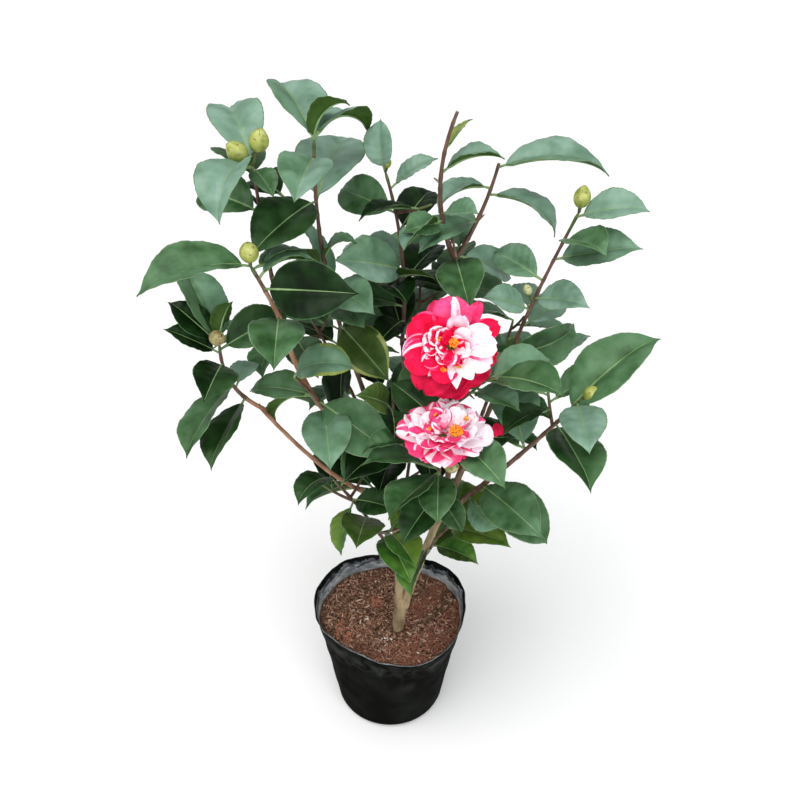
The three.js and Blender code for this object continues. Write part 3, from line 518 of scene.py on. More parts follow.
# Leaf tones from the pale blue-green of the waxy outer leaves, partly a painted sky sheen, to the near black
# of the shaded ones, which is painted shade.
leafTones = {
    "leafPaleSheen": [(0.105, 0.205, 0.135), (0.175, 0.305, 0.218), (0.240, 0.385, 0.300)],
    "leafGrey": [(0.068, 0.155, 0.075), (0.128, 0.252, 0.148), (0.180, 0.325, 0.215)],
    "leafSoft": [(0.026, 0.082, 0.022), (0.072, 0.170, 0.068), (0.115, 0.232, 0.118)],
    "leafMid": [(0.011, 0.046, 0.008), (0.040, 0.112, 0.034), (0.075, 0.165, 0.070)],
    "leafDeep": [(0.003, 0.020, 0.002), (0.015, 0.052, 0.010), (0.034, 0.084, 0.026)],
    "leafPaintedShade": [(0.0006, 0.006, 0.0004), (0.0032, 0.0185, 0.0018), (0.012, 0.040, 0.008)],
    "leafOlive": [(0.018, 0.050, 0.005), (0.044, 0.092, 0.012), (0.075, 0.130, 0.022)],
    "leafFresh": [(0.055, 0.135, 0.009), (0.110, 0.200, 0.022), (0.170, 0.265, 0.045)],
    "leafVivid": [(0.014, 0.075, 0.006), (0.045, 0.135, 0.015), (0.095, 0.215, 0.034)],
    "leafYellow": [(0.13, 0.20, 0.04), (0.24, 0.31, 0.065), (0.36, 0.40, 0.12)],
    "leafRimHighlight": [(0.11, 0.19, 0.09), (0.16, 0.25, 0.13), (0.21, 0.30, 0.17)],
}
leafWax = {
    "leafPaintedShade": ((0.36, 0.5), 0.04, 0.14), "leafDeep": ((0.40, 0.54), 0, 0.22),
    "leafPaleSheen": ((0.38, 0.5), 0.05, 0.35),
}
finishes = {name: leafFinish(name, tones, *leafWax.get(name, ())) for name, tones in leafTones.items()}
finishes.update({
    "underOlive": leafFinish(
        "underOlive", [(0.030, 0.072, 0.010), (0.045, 0.098, 0.015), (0.062, 0.120, 0.022)],
        (0.55, 0.68), 0, 0.2),
    "underFresh": leafFinish(
        "underFresh", [(0.05, 0.13, 0.012), (0.075, 0.17, 0.018), (0.10, 0.21, 0.026)],
        (0.55, 0.68), 0, 0.2),
    "midrib": leafFinish(
        "midrib", [(0.130, 0.235, 0.080), (0.220, 0.345, 0.145), (0.310, 0.440, 0.220)], (0.5, 0.62)),
})
looks = {
    "shootBrown": {
        "tones": [(0.060, 0.028, 0.018), (0.115, 0.055, 0.034), (0.180, 0.095, 0.060)], "toneScale": 160,
        "stretch": (1, 1, 0.4), "roughness": (0.5, 0.72), "relief": [(700, 0.35, 0.3)],
    },
    "shootGreen": {
        "tones": [(0.05, 0.085, 0.02), (0.09, 0.13, 0.035), (0.13, 0.13, 0.045)], "toneScale": 160,
        "roughness": (0.45, 0.6), "relief": [(700, 0.25, 0.3)],
    },
    "barkYoung": {
        "tones": [(0.095, 0.056, 0.036), (0.190, 0.125, 0.085), (0.320, 0.230, 0.165)], "toneScale": 150,
        "stretch": (1, 1, 0.35), "roughness": (0.6, 0.8), "relief": [(420, 0.5, 0.5), (1200, 0.3, 0.2)],
        "specks": [(520, 0.66, 0.74, (0.34, 0.26, 0.17))], "sockets": {"Specular IOR Level": 0.25},
    },
    "barkTan": {
        "tones": [(0.20, 0.090, 0.050), (0.36, 0.185, 0.112), (0.50, 0.300, 0.190)], "toneScale": 130,
        "stretch": (1, 1, 0.35), "roughness": (0.6, 0.8), "relief": [(420, 0.5, 0.5), (1200, 0.3, 0.2)],
        "specks": [(480, 0.66, 0.74, (0.60, 0.44, 0.28)), (130, 0.66, 0.74, (0.16, 0.08, 0.045))],
        "sockets": {"Specular IOR Level": 0.25},
    },
    "barkOld": {
        "tones": [(0.200, 0.140, 0.075), (0.340, 0.250, 0.145), (0.460, 0.350, 0.215)], "toneScale": 110,
        "stretch": (1, 1, 0.3), "roughness": (0.66, 0.86), "relief": [(380, 0.6, 0.6), (1300, 0.35, 0.25)],
        "specks": [(55, 0.56, 0.70, (0.165, 0.180, 0.062)), (480, 0.66, 0.74, (0.48, 0.40, 0.25)),
                   (150, 0.70, 0.76, (0.10, 0.068, 0.036))],
        "sockets": {"Specular IOR Level": 0.25},
    },
    "cutWood": {
        "tones": [(0.36, 0.26, 0.14), (0.50, 0.38, 0.22)], "toneScale": 900, "roughness": (0.7, 0.85),
    },
    "budScale": {
        "tones": [(0.23, 0.270, 0.050), (0.39, 0.430, 0.105), (0.53, 0.560, 0.190)], "toneScale": 150,
        "roughness": (0.42, 0.55), "relief": [(700, 0.15, 0.3)],
        "sockets": {"Specular IOR Level": 0.3},
    },
    "budTip": {
        "tones": [(0.16, 0.12, 0.035), (0.26, 0.20, 0.06), (0.38, 0.34, 0.10)], "toneScale": 300,
        "roughness": (0.5, 0.65), "relief": [(800, 0.2, 0.3)],
    },
    "budTan": {
        "tones": [(0.30, 0.25, 0.10), (0.42, 0.36, 0.16), (0.52, 0.46, 0.23)], "toneScale": 200,
        "roughness": (0.5, 0.65), "relief": [(800, 0.2, 0.3)],
        "specks": [(260, 0.60, 0.66, (0.14, 0.06, 0.03))],
    },
    "budCream": {
        "tones": [(0.42, 0.42, 0.20), (0.56, 0.56, 0.30), (0.66, 0.66, 0.40)], "toneScale": 160,
        "roughness": (0.5, 0.65), "relief": [(800, 0.2, 0.3)],
    },
    "filament": {
        "tones": [(0.85, 0.62, 0.25), (0.92, 0.75, 0.40)], "toneScale": 500, "roughness": (0.45, 0.6),
    },
    "anther": {
        "tones": [(0.85, 0.19, 0.008), (0.96, 0.31, 0.014), (0.99, 0.48, 0.04)], "toneScale": 500,
        "roughness": (0.6, 0.8), "relief": [(2500, 0.5, 0.3)],
    },
    "potOutside": {
        "tones": [(0.0025, 0.0028, 0.0022), (0.0050, 0.0055, 0.0046), (0.0105, 0.0115, 0.0098)],
        "toneScale": 22, "roughness": (0.48, 0.66), "roughScale": 60,
        "specks": [(300, 0.72, 0.82, (0.045, 0.05, 0.048))],
        "bands": [(0.074, 0.098, 0.012, 22, (0.016, 0.017, 0.016)),
                  (0.096, 0.137, 0.020, 45, (0.036, 0.038, 0.036))],
        "relief": [(70, 0.2, 1.0), (500, 0.12, 0.3)], "sockets": {"Specular IOR Level": 0.02, "IOR": 1.2},
    },
    "potRim": {
        "tones": [(0.010, 0.013, 0.016), (0.075, 0.085, 0.095), (0.26, 0.28, 0.30)], "toneScale": 60,
        "stretch": (1, 1, 4), "roughness": (0.5, 0.7), "relief": [(500, 0.12, 0.3)],
        "sockets": {"Specular IOR Level": 0.3},
    },
    "potDusty": {
        "tones": [(0.110, 0.125, 0.140), (0.270, 0.285, 0.300), (0.470, 0.470, 0.470)], "toneScale": 60,
        "stretch": (1, 1, 4), "roughness": (0.6, 0.8), "relief": [(200, 0.3, 0.5)],
        "specks": [(300, 0.60, 0.72, (0.42, 0.43, 0.44)), (180, 0.62, 0.70, (0.016, 0.019, 0.020))],
        "sockets": {"Specular IOR Level": 0.25},
    },
}
finishes.update({name: makeFinish(name, look) for name, look in looks.items()})


def petalFinish(name, tones):
    return makeFinish(name, {
        "tones": tones, "toneScale": 130, "toneSpan": (0.34, 0.66), "roughness": (0.55, 0.7),
        "relief": [(1400, 0.12, 0.25), (420, 0.10, 0.5)],
        "sockets": {"Specular IOR Level": 0.1, "Subsurface Weight": 0.1, "Subsurface Scale": 0.002},
    })


petalTones = {
    "petalCrimson": [(0.74, 0.003, 0.040), (0.88, 0.005, 0.060), (0.96, 0.012, 0.090)],
    "petalRose": [(0.84, 0.034, 0.150), (0.93, 0.060, 0.215), (0.97, 0.115, 0.310)],
    "petalDeep": [(0.42, 0.003, 0.034), (0.56, 0.005, 0.046), (0.66, 0.010, 0.066)],
    "petalPink": [(0.88, 0.17, 0.34), (0.92, 0.26, 0.44), (0.95, 0.38, 0.55)],
    "petalBlush": [(0.93, 0.52, 0.68), (0.96, 0.66, 0.78), (0.98, 0.78, 0.86)],
    "petalWhite": [(0.95, 0.74, 0.84), (0.98, 0.89, 0.95), (0.99, 0.96, 0.98)],
}
finishes.update({name: petalFinish(name, tones) for name, tones in petalTones.items()})
plainTones = {
    "soilBrown": [(0.022, 0.011, 0.007), (0.110, 0.054, 0.032), (0.250, 0.130, 0.080)],
    "soilRed": [(0.075, 0.026, 0.015), (0.190, 0.074, 0.045), (0.300, 0.130, 0.085)],
    "crumbDark": [(0.014, 0.007, 0.005), (0.042, 0.021, 0.013)],
    "crumbBrown": [(0.13, 0.065, 0.038), (0.24, 0.130, 0.080)],
    "crumbTan": [(0.30, 0.155, 0.100), (0.47, 0.27, 0.185)],
    "crumbRed": [(0.18, 0.066, 0.040), (0.30, 0.125, 0.080)],
    "clayOrange": [(0.27, 0.090, 0.055), (0.42, 0.165, 0.105)],
    "chipTan": [(0.28, 0.150, 0.100), (0.44, 0.260, 0.185)],
    "chipPale": [(0.46, 0.300, 0.220), (0.62, 0.45, 0.350)],
    "grainWhite": [(0.66, 0.61, 0.540), (0.86, 0.83, 0.770)],
}
for name, tones in plainTones.items():
    finishes[name] = makeFinish(name, {
        "tones": tones, "toneScale": 420, "toneDetail": 6, "roughness": (0.8, 0.96),
        "relief": [(900, 0.7, 0.5)],
        "sockets": {"Specular IOR Level": 0.25},
    })
print("finishes:", len(finishes))

# Mesh helpers.


# Faces between stacked rings of points, each ring closed on itself.
def ringFaces(rows, columns):
    row, column = np.meshgrid(np.arange(rows), np.arange(columns), indexing="ij")
    here = row * columns + column
    beside = row * columns + (column + 1) % columns
    return np.stack([here, beside, beside + columns, here + columns], axis=-1).reshape(-1, 4)


# One joined piece from parts of (points in millimetres, [(faces, finish or finishes), ...]).
def makePiece(name, parts, replaced=(), smooth=True):
    points, corners, sizes, kinds, used = [], [], [], [], []
    base = 0
    for partPoints, groups in parts:
        partPoints = np.asarray(partPoints, float).reshape(-1, 3)
        for faces, finish in groups:
            faces = np.asarray(faces)
            names = [finish] * len(faces) if isinstance(finish, str) else list(finish)
            for each in dict.fromkeys(names):
                if each not in used:
                    used.append(each)
            corners.append((faces + base).ravel())
            sizes.append(np.full(len(faces), faces.shape[1]))
            kinds.append(np.array([used.index(each) for each in names]))
        points.append(partPoints)
        base += len(partPoints)
    points = np.concatenate(points) * metre
    corners, sizes, kinds = np.concatenate(corners), np.concatenate(sizes), np.concatenate(kinds)
    mesh = bpy.data.meshes.new(name)
    mesh.vertices.add(len(points))
    mesh.vertices.foreach_set("co", points.astype(np.float32).ravel())
    mesh.loops.add(len(corners))
    mesh.loops.foreach_set("vertex_index", corners.astype(np.int32))
    mesh.polygons.add(len(sizes))
    mesh.polygons.foreach_set("loop_start", np.concatenate([[0], np.cumsum(sizes)[:-1]]).astype(np.int32))
    mesh.polygons.foreach_set("material_index", kinds.astype(np.int32))
    mesh.polygons.foreach_set("use_smooth", np.full(len(sizes), smooth))
    mesh.update(calc_edges=True)
    mesh.validate()
    for each in used:
        mesh.materials.append(finishes[each])
    piece = bpy.data.objects.new(name, mesh)
    bpy.context.scene.collection.objects.link(piece)
    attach(piece, "root")
    if replaced:
        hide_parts(*replaced)
    return piece


# Soft lumps of one size, from a few waves in seeded directions; about -1 to 1.
def lumps(points, size, seed, waves=7):
    draw = np.random.default_rng(seed)
    total = np.zeros(points.shape[:-1])
    for _ in range(waves):
        way = unit(draw.normal(size=3))
        pace = 2 * np.pi / size * draw.uniform(0.7, 1.5)
        total += np.sin(points @ way * pace + draw.uniform(0, 2 * np.pi))
    return total / math.sqrt(waves)


# A tube along points; radii may differ round each ring. finish may be one name or one for each length.
def tubePart(points, radii, sides, finish, tipFinish=None):
    points = np.asarray(points, float)
    count = len(points)
    radii = np.broadcast_to(np.asarray(radii, float).reshape(count, -1), (count, sides))
    tangents = np.gradient(points, axis=0)
    tangents /= np.linalg.norm(tangents, axis=1)[:, None]
    across = unit(np.cross([0.02, 1, 0.01], tangents[0]))
    angles = np.linspace(0, 2 * np.pi, sides, endpoint=False)
    rings = []
    for point, tangent, radius in zip(points, tangents, radii):
        across = unit(across - tangent * across.dot(tangent))
        other = np.cross(tangent, across)
        way = np.cos(angles)[:, None] * across + np.sin(angles)[:, None] * other
        rings.append(point + radius[:, None] * way)
    walls = ringFaces(count - 1, sides)
    names = [finish] * (count - 1) if isinstance(finish, str) else finish
    ring = np.arange(sides)
    groups = [
        (walls, [name for name in names for _ in range(sides)]),
        (ring[::-1][None], names[0]),
        ((ring + (count - 1) * sides)[None], tipFinish or names[-1]),
    ]
    return np.concatenate(rings), groups


# A thin sheet from the grids of its two faces, which share their side edges.
def sheetPart(top, bottom, topFinish, bottomFinish):
    rows, columns = top.shape[0] - 1, top.shape[1] - 1
    topIndex = np.arange(top.shape[0] * top.shape[1]).reshape(top.shape[:2])
    under = topIndex.copy()
    inner = np.arange((rows + 1) * (columns - 1)).reshape(rows + 1, columns - 1) + topIndex.size
    under[:, 1:-1] = inner

    def quads(index, flip):
        around = [index[:-1, :-1], index[:-1, 1:], index[1:, 1:], index[1:, :-1]]
        faces = np.stack(around, axis=-1).reshape(-1, 4)
        return faces[:, ::-1] if flip else faces

    ends = [np.concatenate([topIndex[0], under[0, 1:-1][::-1]]),
            np.concatenate([under[-1], topIndex[-1, 1:-1][::-1]])]
    points = np.concatenate([top.reshape(-1, 3), bottom[:, 1:-1].reshape(-1, 3)])
    endFinish = topFinish if isinstance(topFinish, str) else topFinish[0]
    return points, [(quads(topIndex, True), topFinish), (quads(under, False), bottomFinish),
                    (np.array(ends), endFinish)]


# The camera and the room.

view = {"place": (0.011, -0.600, 0.807), "tilt": 55.6, "lens": 37}
camera = bpy.data.objects.new("camera", bpy.data.cameras.new("camera"))
camera.location = view["place"]
camera.rotation_euler = (math.radians(view["tilt"]), 0, 0)
camera.data.lens = view["lens"]
camera.data.sensor_width = 36
camera.data.clip_start = 0.01
bpy.context.scene.collection.objects.link(camera)
bpy.context.scene.camera = camera

room = {
    "floor": 40.0, "floorColour": (0.95, 0.95, 0.95), "air": (0.97, 0.985, 1.0), "airStrength": 0.54,
    "key": {"from": (-0.55, -0.85, 2.0), "strength": 2.1, "spread": 58, "colour": (1.0, 0.99, 0.965)},
    "fill": {"place": (0.7, -1.5, 0.95), "size": 1.2, "watts": 12, "colour": (0.95, 0.98, 1.0)},
    "aim": (0.01, 0.0, 0.40),
}


def makeRoom():
    half = room["floor"] / 2
    mesh = bpy.data.meshes.new("floor")
    corners = [(-half, -half, 0), (half, -half, 0), (half, half, 0), (-half, half, 0)]
    mesh.from_pydata(corners, [], [(0, 1, 2, 3)])
    material = bpy.data.materials.new("paleFloor")
    material.use_nodes = True
    shader = material.node_tree.nodes["Principled BSDF"]
    shader.inputs["Base Color"].default_value = (*room["floorColour"], 1)
    shader.inputs["Roughness"].default_value = 0.9
    mesh.materials.append(material)
    floor = bpy.data.objects.new("floor", mesh)
    bpy.context.scene.collection.objects.link(floor)
    world = bpy.data.worlds.new("studioAir")
    world.use_nodes = True
    world.node_tree.nodes["Background"].inputs["Color"].default_value = (*room["air"], 1)
    world.node_tree.nodes["Background"].inputs["Strength"].default_value = room["airStrength"]
    bpy.context.scene.world = world
    key = bpy.data.objects.new("softKey", bpy.data.lights.new("softKey", "SUN"))
    key.data.energy = room["key"]["strength"]
    key.data.angle = math.radians(room["key"]["spread"])
    key.data.color = room["key"]["colour"]
    key.rotation_euler = (-Vector(room["key"]["from"])).to_track_quat("-Z", "Y").to_euler()
    fill = bpy.data.objects.new("softFill", bpy.data.lights.new("softFill", "AREA"))
    fill.data.size = room["fill"]["size"]
    fill.data.energy = room["fill"]["watts"]
    fill.data.color = room["fill"]["colour"]
    fill.location = room["fill"]["place"]
    towards = Vector(room["aim"]) - Vector(room["fill"]["place"])
    fill.rotation_euler = towards.to_track_quat("-Z", "Y").to_euler()
    for lamp in (key, fill):
        bpy.context.scene.collection.objects.link(lamp)
    bpy.context.scene.view_settings.view_transform = "Standard"


makeRoom()
print("camera, floor and lamps set")

# Leaves: folded, quilted between the veins, toothed along the edge, with a raised midrib, painted shade on
# the half turned from the light and a painted highlight along the edge.

leafLook = {
    "rows": 36, "columns": 10, "thickness": 0.5, "toothDepth": 0.3, "toothFrom": 0.25, "veinPairs": 7,
    "veinRelief": 0.4, "veinSweep": 0.15, "bulge": 0.055, "wave": 0.026, "edgeWaves": 1.9, "twistWaves": 0.8,
    "foldSpread": 0.8, "tipCurl": (0.1, 1.1), "curlFrom": 0.74, "yellowFrom": 0.45,
    "ribSides": 6, "ribRows": 16, "ribTip": 0.16, "ribSink": 0.5, "ribGirth": 0.022, "rim": 0.965,
    # The half of a leaf turned from lightFrom, beyond shadeFrom, takes a deeper copy of its tone as painted
    # shade.
    "lightFrom": (-0.24, -0.37, 0.90), "shadeFrom": 0.34,
    "paintedShadeTone": {"leafPaleSheen": "leafGrey", "leafGrey": "leafSoft", "leafSoft": "leafMid", "leafMid": "leafDeep",
               "leafDeep": "leafPaintedShade", "leafFresh": "leafVivid", "leafVivid": "leafOlive"},
}
leafShares = np.concatenate([[0.003, 0.014], np.linspace(0.035, 0.99, leafLook["rows"] - 1)])
innerSides = np.linspace(-1, 1, leafLook["columns"] + 1)[1:-1]
leafSides = np.concatenate([[-1, -leafLook["rim"]], innerSides, [leafLook["rim"], 1]])


def leafParts(blade, draw, topFinish, underFinish, edgeFinish):
    share, side = leafShares[:, None], leafSides[None, :]
    outline = leafOutline(share)
    half = blade["width"] / 2 * outline
    everyOther = (np.arange(len(leafShares)) % 2)[:, None]
    tooth = leafLook["toothDepth"] * everyOther * (outline > leafLook["toothFrom"])
    reach = half * side + np.where(np.abs(side) == 1, np.sign(side) * tooth, 0)
    fold = math.radians(leafSize["fold"] * (1 + leafLook["foldSpread"] * draw()))
    curl = leafLook["tipCurl"][0] + (leafLook["tipCurl"][1] - leafLook["tipCurl"][0]) * draw()
    width = blade["width"]
    above = np.abs(reach) * math.sin(fold)
    above = above + leafLook["bulge"] * width * np.sin(np.pi * np.abs(side)) * outline
    edgeWave = np.sin(2 * np.pi * (leafLook["edgeWaves"] * share + draw() + 0.25 * np.sign(side)))
    above = above + leafLook["wave"] * width * side**2 * edgeWave * outline
    twist = np.sin(2 * np.pi * (leafLook["twistWaves"] * share + draw()))
    above = above - leafLook["wave"] * width * side * twist * outline
    above = above - curl * blade["length"] * np.maximum(0, share - leafLook["curlFrom"]) ** 2
    veins = np.cos(2 * np.pi * leafLook["veinPairs"] * (share - np.abs(side) * leafLook["veinSweep"]))
    above = above + leafLook["veinRelief"] * veins * np.sin(np.pi * np.minimum(1, np.abs(side) * 1.3) * 0.7)
    along = blade["stalk"] + (1 - blade["stalk"]) * share
    across = reach * math.cos(fold)
    skin = leafLook["thickness"] / 2
    top = bladePoint(blade, along, across, above + skin)
    bottom = bladePoint(blade, along, across, above - skin)
    columns = len(leafSides) - 1
    rows = len(leafShares) - 1
    # Painted shade: the half of the blade turned away from the light gets a deeper copy of its tone.
    tilt = float(np.dot(blade["left"], leafLook["lightFrom"]))
    paintedShadeFinish = topFinish
    if abs(tilt) > leafLook["shadeFrom"]:
        paintedShadeFinish = leafLook["paintedShadeTone"].get(topFinish, topFinish)
    halves = [topFinish, paintedShadeFinish] if tilt > 0 else [paintedShadeFinish, topFinish]
    names = []
    for row in range(rows):
        yellowed = edgeFinish == "leafYellow" and row > rows * leafLook["yellowFrom"]
        border = (0, 1, columns - 2, columns - 1) if yellowed else (0, columns - 1)
        for column in range(columns):
            names.append(edgeFinish if column in border else halves[2 * column >= columns])
    parts = [sheetPart(top, bottom, names, underFinish)]
    ribAlong = np.linspace(0, 0.95, leafLook["ribRows"])
    ribShare = np.maximum(0, (ribAlong - blade["stalk"]) / (1 - blade["stalk"]))
    thick = min(leafSize["petioleRadius"], 0.02 * blade["length"])
    slim = leafLook["ribGirth"] * blade["length"]
    radius = np.where(ribShare == 0, thick, slim * (1 - ribShare) ** 0.9 + leafLook["ribTip"])
    drop = curl * blade["length"] * np.maximum(0, ribShare - leafLook["curlFrom"]) ** 2
    sink = np.where(ribShare == 0, 0, leafLook["ribSink"] * radius - skin)
    line = bladePoint(blade, ribAlong, np.zeros_like(ribAlong), -drop - sink)
    parts.append(tubePart(line, radius, leafLook["ribSides"], "midrib"))
    return parts


# Tones are dealt out by leaf: one letter for each posed leaf, then by place for those of the seeded rule.
# Besides each leaf's own green, the posed letters carry painted light on lit leaves and painted shade on
# shaded ones.
leafDeal = {
    "letters": {"n": "leafPaintedShade", "d": "leafDeep", "m": "leafMid", "s": "leafSoft", "g": "leafGrey",
                "p": "leafPaleSheen", "o": "leafOlive", "f": "leafFresh", "v": "leafVivid", "y": "leafYellow"},
    "posed": {
        "far_left_foliage": "onngmdpmd", "left_foliage": "snsgs", "top_left_foliage": "ppsmd",
        "upper_left_foliage": "pdppdgosgppn", "middle_foliage": "pspnnppnn", "upper_right_foliage": "ypgspm",
        "right_back_foliage": "pppgmpg", "right_foliage": "pggppppsf", "low_right_foliage": "spmgsmg",
        "centre_left_foliage": "sgsgmp", "low_left_foliage": "dofds", "low_front_foliage": "vvo",
        "upper_bloom_foliage": "dd", "lower_bloom_foliage": "mmdm", "inner_front_foliage": "od",
    },
    "low": ("fvo", 300), "inner": ("nndm", 70), "outer": "dmsg",
    "yellowEdged": {"centre_left_foliage": [3], "upper_left_foliage": [6], "right_foliage": [8]},
}


def leafLetter(shoot, k, blade, draw):
    posed = leafDeal["posed"].get(shoot["name"], "")
    if k < len(posed) and k < len(shoot["posed"]):
        return posed[k]
    middle = bladePoint(blade, np.array([0.5]), np.array([0.0]), 0)[0]
    choices = leafDeal["outer"]
    if middle[2] < leafDeal["low"][1] and shoot["name"].startswith("low_"):
        choices = leafDeal["low"][0]
    # Painted shade: leaves near the trunk take the darkest tones.
    elif math.hypot(middle[0] - 10, middle[1]) < leafDeal["inner"][1]:
        choices = leafDeal["inner"][0]
    return choices[int(draw() * len(choices))]


for shoot in shoots:
    draw = seeded(seedOf(shoot, "leaves"))
    parts = []
    for k, blade in enumerate(shoot["blades"]):
        letter = leafLetter(shoot, k, blade, draw)
        under = "underFresh" if letter in "fvy" else "underOlive"
        # Painted highlight along the leaf edge: a paler tone, leafMid on the dark leaves; the yellowed edges
        # are real yellowing.
        edge = "leafYellow" if k in leafDeal["yellowEdged"].get(shoot["name"], []) else "leafRimHighlight"
        if letter in "nd":
            edge = "leafMid"
        parts += leafParts(blade, draw, leafDeal["letters"][letter], under, edge)
    makePiece(shoot["name"] + ".leaves", parts, [shoot["name"]])
print("leaves made")

# Bark: trunk, stems and boughs with ridges, leaf scars and swollen forks.

barkLook = {
    "ringStep": 2.2, "trunkSides": 28, "boughSides": 18, "ridges": (5, 9, 13), "ridgeDepth": 0.022,
    "lumpDepth": 0.045, "scarSpacing": 24, "scarHeight": 0.07, "scarWidth": 1.5, "footSink": 5,
    "tipReach": 3,
    "forkSwell": 0.22, "forkReach": 7, "soilSink": 5, "footSlim": 0.16, "flareHeight": 12, "slim": 0.86,
    "finish": {"left_bough": "barkTan", "left_upper_bough": "barkTan", "low_left_bough": "barkTan"},
    "slender": {"left_bough": 0.84, "low_left_bough": 0.84},
}


def girthAt(limb, share):
    girth = limb["girth"][0] + (limb["girth"][1] - limb["girth"][0]) * share
    if limb["name"] == "trunk":
        height = share * (limb["tip"][2] - limb["foot"][2])
        return girth * (1 - barkLook["footSlim"] * np.maximum(0, 1 - height / barkLook["flareHeight"]) ** 2)
    girth = girth * barkLook["slender"].get(limb["name"], 1)
    return girth if limb["name"].startswith("stem") else girth * barkLook["slim"]


def barkPart(limb, seed, sides, finish):
    length = lengthOf(limb["line"])
    share = np.linspace(0, 1, max(6, int(length / barkLook["ringStep"])) + 1)
    points = pointOn(limb["line"], share)
    radius = girthAt(limb, share)
    draw = np.random.default_rng(seed)
    angle = np.linspace(0, 2 * np.pi, sides, endpoint=False)[None, :]
    ridges = sum(np.sin(k * angle + draw.uniform(0, 6.28) + share[:, None] * draw.uniform(-3, 3))
                 for k in barkLook["ridges"]) * barkLook["ridgeDepth"]
    soft = lumps(points[:, None] + 4 * np.stack([np.cos(angle), np.sin(angle), 0 * angle], -1), 14, seed)
    scars = np.zeros(len(share))
    place = barkLook["scarSpacing"] * draw.uniform(0.4, 1)
    while place < length:
        scars += barkLook["scarHeight"] * np.exp(-(((share * length) - place) / barkLook["scarWidth"]) ** 2)
        place += barkLook["scarSpacing"] * draw.uniform(0.6, 1.4)
    if limb["name"] != "trunk":
        scars += barkLook["forkSwell"] * np.exp(-((share * length) / barkLook["forkReach"]) ** 2)
    rough = radius[:, None] * (1 + ridges + barkLook["lumpDepth"] * soft + scars[:, None])
    sink = barkLook["soilSink"] if limb["name"] == "trunk" else barkLook["footSink"]
    first = points[0] - unit(points[1] - points[0]) * sink
    last = points[-1] + unit(points[-1] - points[-2]) * barkLook["tipReach"]
    points = np.concatenate([[first], points, [last]])
    rough = np.concatenate([rough[:1], rough, rough[-1:]])
    return tubePart(points, rough, sides, finish)


for k, limb in enumerate(barkLimbs):
    old = limb["name"] == "trunk" or limb["name"].startswith("stem")
    finish = barkLook["finish"].get(limb["name"], "barkOld" if old else "barkYoung")
    part = barkPart(limb, 40 + k, barkLook["trunkSides" if old else "boughSides"], finish)
    makePiece(limb["name"] + ".bark", [part], [limb["name"]])
print("bark made")

# Shoots: each mass's own stem and twigs, reddish brown and green towards the tip.

shootLook = {
    "ringStep": 3, "sides": 10, "twigSides": 8, "greenFrom": 0.94, "knot": 0.22, "knotWidth": 2.0,
    "knotSpacing": 17, "cutShoots": ["upper_right_foliage", "right_back_foliage"], "cutSlim": 0.22,
    "tipSlim": 0.6,
    "twigRings": 9, "twigFinishes": ["shootBrown"] * 5 + ["shootGreen"] * 3, "stubRings": 7, "stubSides": 7,
    "tanBelow": {"left_foliage": 0.62, "far_left_foliage": 0.25},
    "stubs": {  # dead snags: place on the shoot, heading, rise, length, radius
        "right_back_foliage": [(0.02, 210, 78, 19, 1.5), (0.06, 330, 60, 15, 1.2), (0.42, 20, 40, 9, 1.1)],
        "upper_right_foliage": [(0.04, 150, 66, 16, 1.3), (0.10, 20, 70, 13, 1.1), (0.55, 190, 40, 7, 1.1)],
        "left_foliage": [(0.30, 140, 45, 9, 1.1), (0.42, 330, 50, 7, 1.0)],
    },
}


def shootPart(shoot, draw):
    length = lengthOf(shoot["line"])
    share = np.linspace(0, 1, int(length / shootLook["ringStep"]) + 2)
    points = pointOn(shoot["line"], share)
    radius = barkLook["slim"] * (shoot["girth"][0] + (shoot["girth"][1] - shoot["girth"][0]) * share)
    place = shootLook["knotSpacing"] * draw()
    while place < length:
        away = (share * length - place) / shootLook["knotWidth"]
        radius = radius * (1 + shootLook["knot"] * np.exp(-(away ** 2)))
        place += shootLook["knotSpacing"] * (0.6 + 0.8 * draw())
    first = points[0] - unit(points[1] - points[0]) * barkLook["footSink"]
    points = np.concatenate([[first], points])
    radius = np.concatenate([radius[:1], radius])
    cut = shoot["name"] in shootLook["cutShoots"]
    if cut:
        radius = radius * (1 - shootLook["cutSlim"] * np.concatenate([[0], share]))
    else:
        radius[-1] *= shootLook["tipSlim"]
    names = ["shootBrown" if s < shootLook["greenFrom"] or cut else "shootGreen" for s in share]
    tan = shootLook["tanBelow"].get(shoot["name"], 0)
    names = ["barkTan" if s < tan else name for s, name in zip(share, names)]
    return tubePart(points, radius, shootLook["sides"], names, tipFinish="cutWood" if cut else None)


for shoot in shoots:
    draw = seeded(seedOf(shoot, "bark"))
    parts = [shootPart(shoot, draw)]
    for line in shoot["twigLines"]:
        points = pointOn(line, np.linspace(0, 1, shootLook["twigRings"]))
        radius = np.linspace(*twigRule["radius"], shootLook["twigRings"])
        parts.append(tubePart(points, radius, shootLook["twigSides"], shootLook["twigFinishes"]))
    for share, heading, rise, length, radius in shootLook["stubs"].get(shoot["name"], []):
        foot = pointOn(shoot["line"], share)
        reach = np.linspace(-0.1, 1, shootLook["stubRings"])[:, None] * length
        points = foot + reach * directionOf(heading, rise)
        girth = radius * np.linspace(1.2, 0.55, shootLook["stubRings"])
        parts.append(tubePart(points, girth, shootLook["stubSides"], "barkYoung", tipFinish="cutWood"))
    makePiece(shoot["name"] + ".twigs", parts, [shoot["name"]])
print("twigs made")

# Buds: an egg under overlapping scales.

budLook = {
    "length": 2.5, "sink": 2.5, "core": 0.94, "coreSides": 14, "scales": 7, "scaleRows": 8,
    "scaleColumns": 10, "thickness": 0.3, "halfAngle": 74, "tipHalfWidth": 2.5, "stalk": (1.3, 1.7),
    "stalkRings": 5, "stalkSides": 8,
    "finish": {"lower_bloom_foliage": ["budTan"], "far_left_foliage": ["budTan"],
               "right_foliage": ["budScale", "budCream"]},
    "slender": {"middle_foliage": 0.62, "right_foliage": 0.88},
}


def eggRadius(share, radius):
    return radius * np.sin(np.pi * np.clip(share, 0.001, 0.999) ** 0.92) ** 0.62


